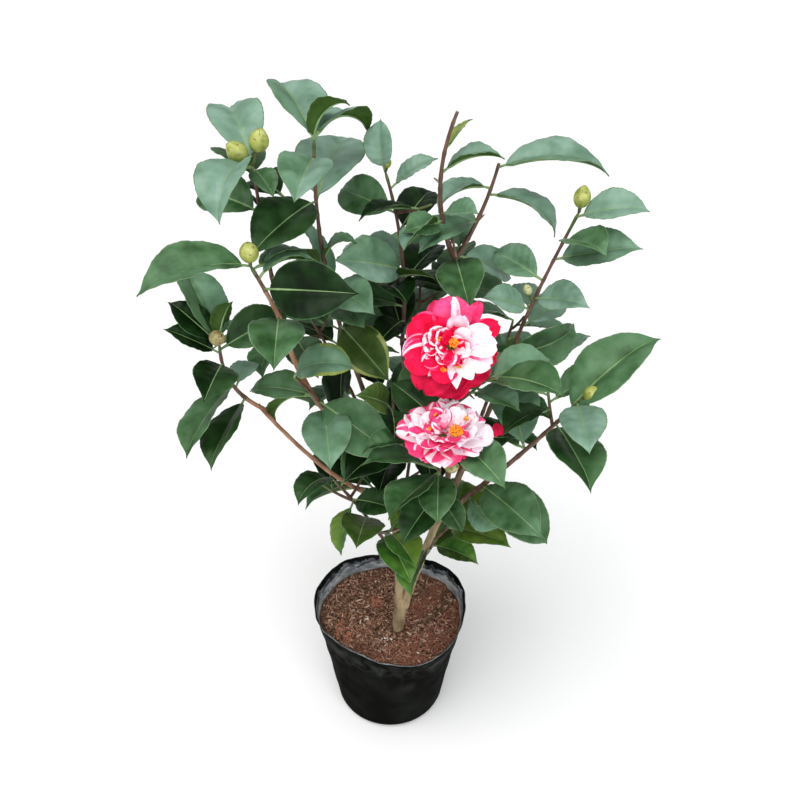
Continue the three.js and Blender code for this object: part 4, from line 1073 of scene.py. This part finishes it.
def budParts(foot, forward, length, radius, finish):
    across, other = acrossOf(forward)
    share = np.linspace(0.02, 0.98, 13)
    core = foot + share[:, None] * length * forward
    inside = radius * budLook["core"]
    parts = [tubePart(core, eggRadius(share, inside), budLook["coreSides"], finish, tipFinish="budTip")]
    count = budLook["scales"]
    for k in range(count):
        tier = k / (count - 1)
        low, high = 0.02 + 0.26 * tier, 0.52 + 0.45 * tier
        turn = math.radians(k * growth["goldenAngle"])
        v = np.linspace(0, 1, budLook["scaleRows"] + 1)[:, None]
        u = np.linspace(-1, 1, budLook["scaleColumns"] + 1)[None, :]
        reach = low + (high - low) * v
        spread = math.radians(budLook["halfAngle"]) * np.sqrt(np.maximum(0.01, 1 - v**2.6))
        angle = turn + u * spread
        lift = radius * (0.075 - 0.055 * tier)
        grids = []
        for skin in (budLook["thickness"], 0):
            ring = eggRadius(reach, inside) + lift * (1 - 0.75 * np.abs(u) ** 3) * (1 - 0.5 * v**4) + skin
            way = np.cos(angle)[..., None] * across + np.sin(angle)[..., None] * other
            grids.append(foot + (reach * length)[..., None] * forward + ring[..., None] * way)
        plain = [finish] * (budLook["scaleColumns"] * (budLook["scaleRows"] - 1))
        middle = budLook["scaleColumns"] // 2
        names = plain + ["budTip" if abs(column + 0.5 - middle) < budLook["tipHalfWidth"] else finish
                         for column in range(budLook["scaleColumns"])]
        parts.append(sheetPart(grids[0][:, ::-1], grids[1][:, ::-1], names, finish))
    return parts


for shoot in shoots:
    parts = []
    kinds = budLook["finish"].get(shoot["name"], ["budScale"])
    for k, (at, heading, rise, distance, radius) in enumerate(shoot["buds"]):
        foot = pointOn(shoot["line"], at)
        forward = directionOf(heading, rise)
        stalk = foot + np.linspace(0, distance, budLook["stalkRings"])[:, None] * forward
        girth = np.linspace(*budLook["stalk"], budLook["stalkRings"])
        parts.append(tubePart(stalk, girth, budLook["stalkSides"], "shootGreen"))
        seat = foot + forward * (distance - budLook["sink"])
        slim = budLook["slender"].get(shoot["name"], 1)
        parts += budParts(seat, forward, budLook["length"] * radius, radius * slim, kinds[k % len(kinds)])
    if parts:
        makePiece(shoot["name"] + ".buds", parts)
print("buds made")

# Blooms: striped petals in whorls, ruffled petals and stamens in the heart.

petalLook = {
    "rows": 18, "columns": 26, "thickness": 0.4, "roll": 9, "cup": 0.09, "ruffle": 0.030, "tipRuffle": 0.022,
    "veins": 0.05, "notch": 0.05, "transition": 0.14, "sunk": 2,
    "innerBelow": 22, "innerRoll": 50, "innerRuffle": 0.11, "whiteRuffle": 0.075, "crumple": 0.035,
    "liftSpread": 6, "keel": 0.03,
}

# A petal row is [angle, start, height, lift, length, width, bow, white share, point] in millimetres and
# degrees. Angles turn about the bloom's axis from its right side; start and height are from its centre.
blooms = {
    "upper_bloom_foliage": {
        "shadeBelow": -0.35, "scale": 0.93, "body": "petalCrimson", "sheenAbove": 0.6,
        "petals": [
            [111, 3, -3, 4, 36, 25, 14, 0, 0], [61, 3, -2, 8, 39, 15, 10, 0, 0.25],
            [31, 3, -2, 6, 38, 19, 10, 0, 0], [352, 3, -2.5, 4, 33, 25, 14, 0, 0],
            [317, 3, -2, 5, 34, 28, 14, 0, 0], [272, 3, -3, 2, 38, 33, 16, 0, 0],
            [152, 4, 0, 12, 34, 31, 18, 0, 0], [92, 4, -0.5, 14, 36, 31, 12, 0.14, 0],
            [240, 4, 0, 9, 38, 33, 18, 0, 0], [197, 4, 0.5, 12, 35, 33, 16, 0.04, 0],
            [213, 3, 2, 30, 25, 21, -16, 0.05, 0], [122, 3, 2, 30, 24, 22, -6, 0, 0],
            [258, 3, 2, 24, 28, 22, -6, 0, 0], [75, 4, 3, 32, 26, 18, -12, 2, 0],
            [285, 3, 1, 16, 30, 24, 6, 0, 0], [330, 3, 1, 16, 29, 24, 6, 0.2, 0],
            [28, 6, 3, 26, 29, 19, 18, 1, 0], [5, 6, 3, 22, 31, 21, 16, 0.9, 0],
            [340, 5, 3.5, 18, 30, 21, 16, 1, 0], [50, 4, 4, 48, 23, 14, 8, 0.9, 0],
            [283, 4, 3, 20, 30, 14, 10, 0.9, 0.8], [309, 5, 3, 24, 27, 16, 14, 1, 0.5],
            [350, 3, 5, 48, 20, 16, 22, 0.8, 0], [147, 7, 3, 40, 18, 16, 34, -1, 0],
            [166, 9, 3, 34, 16, 14, 34, -1, 0], [130, 6, 4, 48, 15, 13, 30, -1, 0],
            [190, 8, 3, 40, 16, 12, 30, -1, 0], [214, 9, 3, 34, 17, 11, 26, -1, 0.2],
            [228, 5, 4, 52, 15, 12, 30, -1, 0], [236, 10, 2, 20, 19, 8, 12, 0.8, 0.6],
            [272, 2, 4, 50, 19, 18, 30, 0.08, 0], [240, 3, 4, 58, 16, 15, 28, 0.1, 0],
            [30, 3, 4, 58, 16, 15, 26, 0.2, 0], [100, 3, 3, 50, 16, 16, 26, 0, 0],
            [308, 3, 3, 48, 18, 17, 28, 0.15, 0], [180, 4, 4, 60, 15, 14, 28, -1, 0],
            [0, 5, 3, 52, 17, 15, 28, 0.5, 0], [60, 4, 3, 44, 18, 17, 24, 0.1, 0],
        ],
        "stamens": [[60, 4, 13, 24, 3.2], [150, 11, 10, 9, 2.2], [256, 17, 6, 10, 2], [296, 14, 8, 6, 1.6],
                    [348, 13, 9, 5, 1.6]],
    },
    "lower_bloom_foliage": {
        "shadeBelow": -2, "scale": 0.86, "body": "petalRose", "sheenAbove": 2,
        "petals": [
            [180, 3, -1, 6, 38, 29, 14, 0.5, 0], [150, 3, -1, 8, 35, 28, 12, 0.35, 0],
            [118, 3, -2, 10, 31, 26, 10, 0.15, 0], [92, 3, 0, 20, 32, 15, 8, 0.75, 0.1],
            [73, 3, 0, 24, 31, 15, 6, 0.9, 0.1], [46, 3, -2, 12, 34, 30, 12, 0.12, 0],
            [20, 3, -1, 10, 36, 28, 12, 0.7, 0], [356, 4, -1, 8, 39, 31, 14, 0.95, 0],
            [330, 3, -2, 8, 35, 28, 14, 0.85, 0], [275, 3, -3, 4, 30, 36, 18, 0.75, 0.2],
            [240, 3, -3, 6, 29, 29, 16, 0.05, 0], [212, 3, -2, 5, 32, 29, 16, 0, 0],
            [305, 3, -3, 6, 28, 29, 16, 0.05, 0], [160, 4, 2, 26, 28, 23, 12, 0.9, 0],
            [192, 4, 2, 22, 28, 22, 8, 0.45, 0], [232, 4, 2, 24, 27, 22, 6, 0.3, 0],
            [268, 4, 2, 26, 26, 24, 4, 0.15, 0], [300, 4, 2, 24, 26, 22, 8, 0.4, 0],
            [20, 4, 2, 30, 29, 25, 6, 0.95, 0], [58, 4, 2, 36, 26, 22, 4, 0.8, 0],
            [108, 4, 2, 34, 25, 22, 6, 0.3, 0], [342, 4, 2, 26, 28, 23, 8, 0.8, 0],
            [170, 5, 4, 42, 20, 18, 20, 0.95, 0], [132, 4, 4, 46, 19, 17, 22, 0.15, 0],
            [90, 3, 4, 52, 18, 17, 22, 0.3, 0], [45, 6, 4, 46, 20, 18, 22, 0.9, 0],
            [8, 8, 4, 44, 19, 17, 26, 0.7, 0], [296, 7, 4, 40, 18, 17, 22, 0.1, 0],
            [252, 6, 4, 40, 19, 17, 20, 0.6, 0], [212, 5, 4, 44, 18, 16, 22, 0.1, 0],
            [190, 2, 5, 60, 15, 15, 24, 0.4, 0], [110, 2, 5, 60, 14, 14, 24, 2, 0],
            [325, 14, 4, 46, 15, 16, 26, 0.5, 0],
        ],
        "stamens": [[330, 11, 10, 50, 5.2], [131, 10, 11, 4, 1.4], [205, 11, 9, 5, 1.6],
                    [18, 17, 12, 6, 1.6]],
    },
}


# Broad flashes run from foot to tip; their white share is given, 2 for a pink petal, -1 for a white edge.
def stripeNames(share, side, white, body, draw):
    lot = draw()
    edge = np.maximum(np.abs(side), 0 * share) + 0.12 * np.sin(2 * np.pi * (1.1 * share + lot)) > 0.93
    if white >= 2:
        place = share + 0.15 * np.sin(3 * side + 6 * lot)
        return np.where(place < 0.2, "petalRose", np.where(place < 0.5, "petalPink", "petalBlush")).ravel()
    drift = side + 0.05 * np.sin(2 * np.pi * (0.6 * share + lot))
    value = sum(size * np.sin(2 * np.pi * (pace * drift + draw()))
                for pace, size in ((0.33, 1.0), (0.75, 0.6), (1.6, 0.3), (3.4, 0.12)))
    value = value + 0.2 * (share - 0.5)
    names = np.full(value.shape, body, dtype=object)
    names[edge & (share > 0.3)] = "petalCrimson" if body == "petalDeep" else "petalRose"
    if white < 0:
        lip = np.maximum(np.abs(side), share) + 0.1 * np.sin(2 * np.pi * (1.3 * share + 0.7 * side + lot))
        names[lip > 0.78] = "petalPink"
        names[lip > 0.86] = "petalWhite"
    if white <= 0:
        return names.ravel()
    soft = petalLook["transition"] * min(1, 2 * (1 - white) + 0.3)
    names[value > np.quantile(value, max(0, 1 - white - soft))] = "petalRose"
    names[value > np.quantile(value, max(0, 1 - white - soft * 0.6))] = "petalPink"
    names[value > np.quantile(value, max(0, 1 - white - soft * 0.2))] = "petalBlush"
    names[value > np.quantile(value, max(0, 1 - white + 0.02))] = "petalWhite"
    foot = share + 0 * side < 0.2 + 0.1 * draw()
    names[foot & (names == "petalWhite")] = "petalBlush"
    return names.ravel()


def petalParts(bloom, row, rows, draw):
    angle, start, height, lift, length, width, bow, white, point = row
    inner = length < petalLook["innerBelow"]
    upward = math.sin(math.radians(angle))
    # Painted shade and sheen: low-lifted petals turned downwards take the deep crimson, long petals turned
    # upwards take rose.
    body = "petalDeep" if upward < rows["shadeBelow"] and lift < 20 else rows["body"]
    if upward > rows["sheenAbove"] and length > 30:
        body = "petalRose"
    ruffle = petalLook["innerRuffle" if inner else "whiteRuffle" if white > 0.75 else "ruffle"]
    length, width = length * rows["scale"], width * rows["scale"]
    axis, across, other = bloomAxis(bloom)
    turn = math.radians(angle)
    outward = across * math.cos(turn) + other * math.sin(turn)
    lift = math.radians(lift + (draw() - 0.5) * petalLook["liftSpread"])
    forward = outward * math.cos(lift) + axis * math.sin(lift)
    normal = axis * math.cos(lift) - outward * math.sin(lift)
    roll = math.radians((draw() - 0.5) * petalLook["innerRoll" if inner else "roll"])
    left = np.cross(normal, forward)
    normal, left = (normal * math.cos(roll) + left * math.sin(roll),
                    left * math.cos(roll) - normal * math.sin(roll))
    origin = np.array(bloom["centre"], float) - petalLook["sunk"] * axis + outward * start + axis * height
    blade = {"origin": origin, "forward": forward, "normal": normal, "left": left,
             "length": length, "bow": bow}
    share = np.linspace(0.0, 0.99, petalLook["rows"] + 1)[:, None]
    side = np.linspace(-1, 1, petalLook["columns"] + 1)[None, :]
    outline = petalOutline(share) * (1 - point * share**3)
    notch = petalLook["notch"] * (1 - point) * (0.4 + draw())
    along = share * (1 - notch * np.exp(-(((side - 0.3 * (draw() - 0.5)) / 0.28) ** 2)) * share**5)
    along = along + 0.012 * share**4 * np.sin(2 * np.pi * (1.3 * side + draw()))
    reach = width / 2 * outline * side
    edge = np.abs(side)
    above = petalLook["cup"] * width * side**2 * outline
    frill = np.sin(2 * np.pi * (1.7 * share + draw() + 0.3 * np.sign(side)))
    above = above + ruffle * width * edge**2.5 * frill * outline
    above = above + petalLook["tipRuffle"] * length * share**4 * np.sin(2 * np.pi * (0.9 * side + draw()))
    above = above + petalLook["veins"] * np.sin(2 * np.pi * (5.5 * side + draw())) * share
    above = above - petalLook["keel"] * width * np.exp(-((side / 0.3) ** 2)) * share
    crumple = np.sin(2 * np.pi * (1.4 * share + draw()))
    crumple = crumple * np.sin(2 * np.pi * (0.9 * side + draw()))
    above = above + petalLook["crumple"] * width * share * crumple
    skin = petalLook["thickness"] / 2
    top = bladePoint(blade, along, reach, above + skin)
    bottom = bladePoint(blade, along, reach, above - skin)
    middleShare = (share[:-1] + share[1:]) / 2
    middleSide = (side[:, :-1] + side[:, 1:]) / 2
    names = stripeNames(middleShare, middleSide, white, body, draw)
    return sheetPart(top, bottom, list(names), list(names))


stamenLook = {
    "heightSpread": 2.2, "footShare": 0.45, "footDrop": 8, "arch": 0.09, "filamentRings": 4,
    "filamentRadius": 0.32, "filamentSides": 5, "lean": 0.6, "antherSink": 0.4, "antherLength": 2.1,
    "antherSides": 6,
    "antherGirth": (0.3, 0.72, 0.85, 0.72, 0.3),
}


# Stamens: fine filaments, each with an anther; a row is [angle, distance, height, count, spread].
def stamenParts(bloom, row, draw):
    angle, distance, height, count, spread = row
    axis, across, other = bloomAxis(bloom)
    turn = math.radians(angle)
    middle = np.array(bloom["centre"], float) + distance * (across * math.cos(turn) + other * math.sin(turn))
    parts = []
    for k in range(count):
        out = spread * math.sqrt((k + 0.5) / count)
        spin = math.radians(k * growth["goldenAngle"])
        aside = out * (across * math.cos(spin) + other * math.sin(spin))
        tip = middle + aside + axis * (height + stamenLook["heightSpread"] * (draw() - 0.5))
        foot = middle + stamenLook["footShare"] * aside + axis * (height - stamenLook["footDrop"])
        line = makeLine(foot, (foot + tip) / 2 + stamenLook["arch"] * aside, tip)
        filament = pointOn(line, np.linspace(0, 1, stamenLook["filamentRings"]))
        girth = np.full(len(filament), stamenLook["filamentRadius"])
        parts.append(tubePart(filament, girth, stamenLook["filamentSides"], "filament"))
        lean = unit(axis + stamenLook["lean"] * np.array([draw() - 0.5, draw() - 0.5, draw() - 0.5]))
        share = np.linspace(0, 1, len(stamenLook["antherGirth"]))
        anther = tip - stamenLook["antherSink"] * lean + share[:, None] * stamenLook["antherLength"] * lean
        parts.append(tubePart(anther, stamenLook["antherGirth"], stamenLook["antherSides"], "anther"))
    return parts


# Each bloom sits on a green stalk with a calyx, whose size is its length and radius.
calyxLook = {
    "below": 17, "stalkReach": 4, "stalkTop": 3.2, "stalkRings": 8, "stalkSides": 10, "size": (11, 8),
}

for shoot in shoots:
    if shoot["name"] not in blooms:
        continue
    rows = blooms[shoot["name"]]
    draw = seeded(seedOf(shoot, "bloom"))
    parts = [petalParts(shoot["bloom"], row, rows, draw) for row in rows["petals"]]
    makePiece(shoot["name"] + ".petals", parts, [shoot["name"]])
    parts = []
    for row in rows["stamens"]:
        parts += stamenParts(shoot["bloom"], row, draw)
    makePiece(shoot["name"] + ".stamens", parts)
    axis = bloomAxis(shoot["bloom"])[0]
    seat = np.array(shoot["bloom"]["centre"], float) - calyxLook["below"] * axis
    start = np.array(shoot["tip"], float)
    line = makeLine(start, (start + seat) / 2, seat + calyxLook["stalkReach"] * axis)
    stalk = pointOn(line, np.linspace(0, 1, calyxLook["stalkRings"]))
    girth = np.linspace(shoot["girth"][1], calyxLook["stalkTop"], calyxLook["stalkRings"])
    parts = [tubePart(stalk, girth, calyxLook["stalkSides"], "shootGreen")]
    parts += budParts(seat, axis, *calyxLook["size"], "budScale")
    makePiece(shoot["name"] + ".calyx", parts)
print("blooms made")

# One fallen petal caught on a leaf.

scrapLook = {
    "leaf": ("upper_bloom_foliage", 1), "share": 0.78, "side": 0.75, "length": 11, "width": 12, "lift": 6,
    "forward": (0.25, -0.3, -0.9), "facing": (0.1, -0.8, 0.6), "bow": 24, "finish": "petalDeep", "aside": -5,
    "thickness": 0.4,
}


def makeScrap():
    name, k = scrapLook["leaf"]
    leaf = next(shoot for shoot in shoots if shoot["name"] == name)["blades"][k]
    half = leaf["width"] / 2 * float(leafOutline(np.array(scrapLook["share"])))
    along = leaf["stalk"] + (1 - leaf["stalk"]) * scrapLook["share"]
    spot = bladePoint(leaf, np.array([along]), np.array([half * scrapLook["side"]]), 0)[0]
    forward = unit(np.array(scrapLook["forward"]))
    left = unit(np.cross(scrapLook["facing"], forward))
    normal = np.cross(forward, left)
    spot = spot + np.array([scrapLook["aside"], 0, 0]) + normal * scrapLook["lift"]
    blade = {"origin": spot - forward * scrapLook["length"] / 2, "forward": forward,
             "normal": normal, "left": left, "length": scrapLook["length"], "bow": scrapLook["bow"]}
    share, side = np.linspace(0.02, 0.98, 11)[:, None], np.linspace(-1, 1, 13)[None, :]
    reach = scrapLook["width"] / 2 * petalOutline(share) * side
    above = 0.09 * scrapLook["width"] * side**2 + 0.3 * np.sin(5 * side + 4 * share)
    skin = scrapLook["thickness"] / 2
    top = bladePoint(blade, share, reach, above + skin)
    bottom = bladePoint(blade, share, reach, above - skin)
    makePiece("fallen_petal", [sheetPart(top, bottom, scrapLook["finish"], scrapLook["finish"])])


makeScrap()
print("fallen petal made")

# Pot: thin crinkled plastic, dusty inside and smeared outside.

potLook = {
    "height": 135, "rimRadius": 77, "footRadius": 58, "wall": 1.1, "sectors": 220, "lipFrom": 110,
    "waves": [(1, 3, 144), (2, 4, 130), (3, 2.3, -37), (4, 1.6, -17)],  # count round the rim, depth, turn
    "flare": 1.2, "backFlare": 2.4, "footRound": 8, "floorAt": 3, "crinkle": 0.5, "crinkleSize": 26,
    "crinkleSeed": 5, "dent": 0.4, "footRings": 6, "wallRings": 34, "insideRings": 22, "lipRound": 0.3,
    "raggedWaves": (7, 12, 19, 31, 47),
    "rimRagged": 0.9, "rimDip": 1.3, "dustTop": 124, "streakTo": 5, "dustRagged": 2.2, "insideTo": 100,
}


def wallRadius(height, angle):
    share = height / potLook["height"]
    wave = sum(depth * np.sin(count * angle + math.radians(turn)) for count, depth, turn in potLook["waves"])
    return potLook["footRadius"] + (potLook["rimRadius"] - potLook["footRadius"]) * share + wave * share**2


def makePot():
    sectors = potLook["sectors"]
    angle = np.linspace(0, 2 * np.pi, sectors, endpoint=False)
    way = np.stack([np.cos(angle), np.sin(angle), np.zeros(sectors)], -1)
    back = np.clip(np.sin(angle) * 1.4 + 0.1, 0, 1)
    ragged = sum(np.sin(k * angle + k * k) for k in potLook["raggedWaves"]) / 3
    rimHeight = potLook["height"] - potLook["rimDip"] * (1 + np.sin(4 * angle + 1)) * 0.5
    rimHeight = rimHeight + potLook["rimRagged"] * (ragged - 0.6) * 0.5

    def ring(height, inset, relief=1.0):
        flat = way * wallRadius(height, angle)[:, None]
        flat[:, 2] = height
        crinkle = lumps(flat, potLook["crinkleSize"], potLook["crinkleSeed"]) * potLook["crinkle"]
        upDown = np.sin(height * 0.11 + 2 * np.sin(2 * angle))
        crinkle = crinkle + potLook["dent"] * np.sin(9 * angle + height * 0.09) * upDown
        rise = np.clip((height - potLook["lipFrom"]) / (potLook["height"] - potLook["lipFrom"]), 0, 1)
        flare = potLook["flare"] * rise + potLook["backFlare"] * back * rise**3
        radius = wallRadius(height, angle) + flare - inset + relief * crinkle * min(1, height / 20)
        points = way * radius[:, None]
        points[:, 2] = height + (rimHeight - potLook["height"]) * rise**4
        return points

    rings, names = [], []
    rounding = potLook["footRound"]
    for turn in np.linspace(0, math.pi / 2, potLook["footRings"]):
        rings.append(ring(rounding * (1 - math.cos(turn)), rounding * (1 - math.sin(turn)), 0.4))
        names.append("potOutside")
    for height in np.linspace(rounding + 4, potLook["height"] - 1, potLook["wallRings"]):
        rings.append(ring(height, 0))
        names.append("potOutside")
    for inset in (potLook["lipRound"], potLook["wall"] - potLook["lipRound"]):
        rings.append(ring(potLook["height"], inset))
        names.append("potRim")
    dustLine = potLook["dustTop"] + potLook["dustRagged"] * ragged
    for height in np.linspace(potLook["height"] - 1, potLook["insideTo"], potLook["insideRings"]):
        rings.append(ring(height, potLook["wall"]))
        upper = np.where(height > dustLine + potLook["streakTo"], "potOutside", "potRim")
        names.append(np.where(height > dustLine, upper, "potDusty"))
    rings.append(ring(potLook["floorAt"], potLook["wall"] + 6, 0))
    names.append("potDusty")
    points = np.concatenate(rings)
    walls = ringFaces(len(rings) - 1, sectors)
    each = [str(name) for row in names[1:] for name in np.broadcast_to(row, sectors)]
    first = np.arange(sectors)
    part = (points, [(walls, each), (first[::-1][None], "potOutside"),
                     ((first + (len(rings) - 1) * sectors)[None], "potDusty")])
    makePiece("pot.skin", [part], ["pot"])


makePot()
print("pot made")

# Potting mix: a rough surface, crumbs, fibres, chips, clay lumps and white grains.

soilLook = {
    "level": 118, "rings": 60, "sectors": 230, "under": 14, "coarse": 1.3, "middle": 0.9, "fine": 0.8,
    "crumbs": 2600, "chips": 1300, "fibres": 70,
    "clay": [(-16, 16, 70, 7), (-52, -20, 50, 7), (-44, -32, 26, 6)],
    "grains": [(-4, -33), (-1, -35), (-7, -36), (2, -34), (31, -52), (-24, -8)],
    "reds": [(42, 14, 30), (-24, -50, 20), (20, -62, 16)], "redFrom": 0.62,
    "trunk": (9, -20), "trunkRoom": 8, "wallGap": 0.15, "redSize": 46, "redSeed": 9, "seed": 12,
    "crumbFinish": {"crumbDark": 0.48, "crumbBrown": 0.34, "crumbTan": 0.18},
    "chipFinish": {"chipTan": 0.30, "chipPale": 0.09, "crumbBrown": 0.37, "crumbTan": 0.24},
}


def soilHeight(x, y):
    points = np.stack([x, y, 0 * x], -1)
    height = soilLook["coarse"] * lumps(points, 34, 3) * 0.6
    height = height + soilLook["middle"] * lumps(points, 9, 4) * 0.6
    height = height + soilLook["fine"] * lumps(points, 4.2, 6, 11) * 0.7
    distance = np.hypot(x, y)
    return soilLook["level"] + height - 2.5 * np.clip((distance - 60) / 15, 0, 1) ** 2


def groundAt(x, y):
    return float(soilHeight(np.array(x), np.array(y)))


def crumbPart(place, size, finish, draw):
    flat = np.array([[1, 0, 0], [-1, 0, 0], [0, 1, 0], [0, -1, 0], [0, 0, 1], [0, 0, -1]], float)
    turn = np.linalg.qr(draw.normal(size=(3, 3)))[0]
    if np.linalg.det(turn) < 0:
        turn[:, 0] *= -1
    points = (flat * draw.uniform(0.6, 1.2, (6, 1)) * size) @ turn.T + place
    upper = [[0, 2, 4], [2, 1, 4], [1, 3, 4], [3, 0, 4]]
    lower = [[2, 0, 5], [1, 2, 5], [3, 1, 5], [0, 3, 5]]
    return points, [(np.array(upper + lower), finish)]


# One finish out of a dictionary of finishes and their chances.
def pick(chances, draw):
    return list(chances)[int(draw.choice(len(chances), p=list(chances.values())))]


def soilPlace(draw, margin):
    while True:
        turn = draw.uniform(0, 2 * math.pi)
        reach = math.sqrt(draw.uniform()) * (float(wallRadius(soilLook["level"], turn)) - margin)
        x, y = reach * math.cos(turn), reach * math.sin(turn)
        if math.dist((x, y), soilLook["trunk"]) > soilLook["trunkRoom"]:
            return x, y


def isRed(x, y):
    patch = lumps(np.array([[x, y, 0.0]]), soilLook["redSize"], soilLook["redSeed"])[0]
    near = max(math.exp(-(((x - px) ** 2 + (y - py) ** 2) / size**2)) for px, py, size in soilLook["reds"])
    return 0.3 * patch + near > soilLook["redFrom"]


def makeSoil():
    rings, sectors = soilLook["rings"], soilLook["sectors"]
    angle = np.linspace(0, 2 * np.pi, sectors, endpoint=False)
    outer = wallRadius(soilLook["level"], angle) - potLook["wall"] - soilLook["wallGap"]
    rows = []
    for share in np.linspace(1, 0.012, rings) ** 0.9:
        x, y = outer * share * np.cos(angle), outer * share * np.sin(angle)
        rows.append(np.stack([x, y, soilHeight(x, y)], -1))
    low = rows[0].copy()
    low[:, 2] = soilLook["level"] - soilLook["under"]
    low[:, :2] *= 0.96
    points = np.concatenate([low] + rows)
    walls = ringFaces(rings, sectors)
    middles = points[walls].mean(1)
    patches = lumps(middles, soilLook["redSize"], soilLook["redSeed"])
    red = patches + 0.022 * middles[:, 0] - 0.016 * middles[:, 1] > 0.55
    names = np.where(red, "soilRed", "soilBrown")
    first = np.arange(sectors)
    part = (points, [(walls, list(names)), (first[::-1][None], "soilBrown"),
                     ((first + rings * sectors)[None], "soilBrown")])
    makePiece("soil.surface", [part], ["soil"])
    draw = np.random.default_rng(soilLook["seed"])
    parts = []
    for _ in range(soilLook["crumbs"]):
        x, y = soilPlace(draw, 3)
        length = 0.5 + 1.3 * draw.uniform() ** 2
        size = length * np.array([1, draw.uniform(0.6, 1), draw.uniform(0.5, 0.9)])
        finish = "crumbRed" if isRed(x, y) else pick(soilLook["crumbFinish"], draw)
        place = np.array([x, y, groundAt(x, y) + 0.35 * size[2]])
        parts.append(crumbPart(place, size, finish, draw))
    for x, y, count, spread in soilLook["clay"]:
        for _ in range(count):
            px, py = x + spread * draw.normal() * 0.45, y + spread * draw.normal() * 0.9
            size = draw.uniform(1.0, 2.6) * np.array([1, 0.85, 0.7])
            place = np.array([px, py, groundAt(px, py) + draw.uniform(0, 1.6)])
            parts.append(crumbPart(place, size, "clayOrange", draw))
    for x, y in soilLook["grains"]:
        for _ in range(2):
            px, py = x + draw.normal() * 0.9, y + draw.normal() * 0.9
            size = draw.uniform(1.0, 1.7) * np.array([1, 0.9, 0.8])
            place = np.array([px, py, groundAt(px, py) + 0.9])
            parts.append(crumbPart(place, size, "grainWhite", draw))
    makePiece("soil.crumbs", parts, smooth=False)
    parts = []
    for k in range(soilLook["chips"] + soilLook["fibres"]):
        chip = k < soilLook["chips"]
        reach = 2.2 + 5.5 * draw.uniform() ** 2 if chip else draw.uniform(7, 18)
        x, y = soilPlace(draw, 3 + reach / 2)
        if chip and isRed(x, y) and draw.uniform() < 0.75:
            continue
        heading = draw.uniform(0, 360)
        way = directionOf(heading, draw.uniform(-10, 22) if chip else draw.uniform(-4, 6))
        side = directionOf(heading + 90, 0)
        middle = np.array([x, y, groundAt(x, y) + (0.7 if chip else 1.1)])
        bend = draw.uniform(-0.12, 0.12) * reach * side if chip else draw.uniform(-0.3, 0.3) * reach * side
        line = makeLine(middle - way * reach / 2, middle + bend, middle + way * reach / 2)
        girth = draw.uniform(0.45, 1.15) if chip else draw.uniform(0.16, 0.30)
        steps = 3 if chip else 8
        points = pointOn(line, np.linspace(0, 1, steps))
        finish = pick(soilLook["chipFinish"], draw)
        parts.append(tubePart(points, np.linspace(girth, girth * 0.6, steps), 5 if chip else 4, finish))
    makePiece("soil.fibres", parts)


makeSoil()
print("soil made")
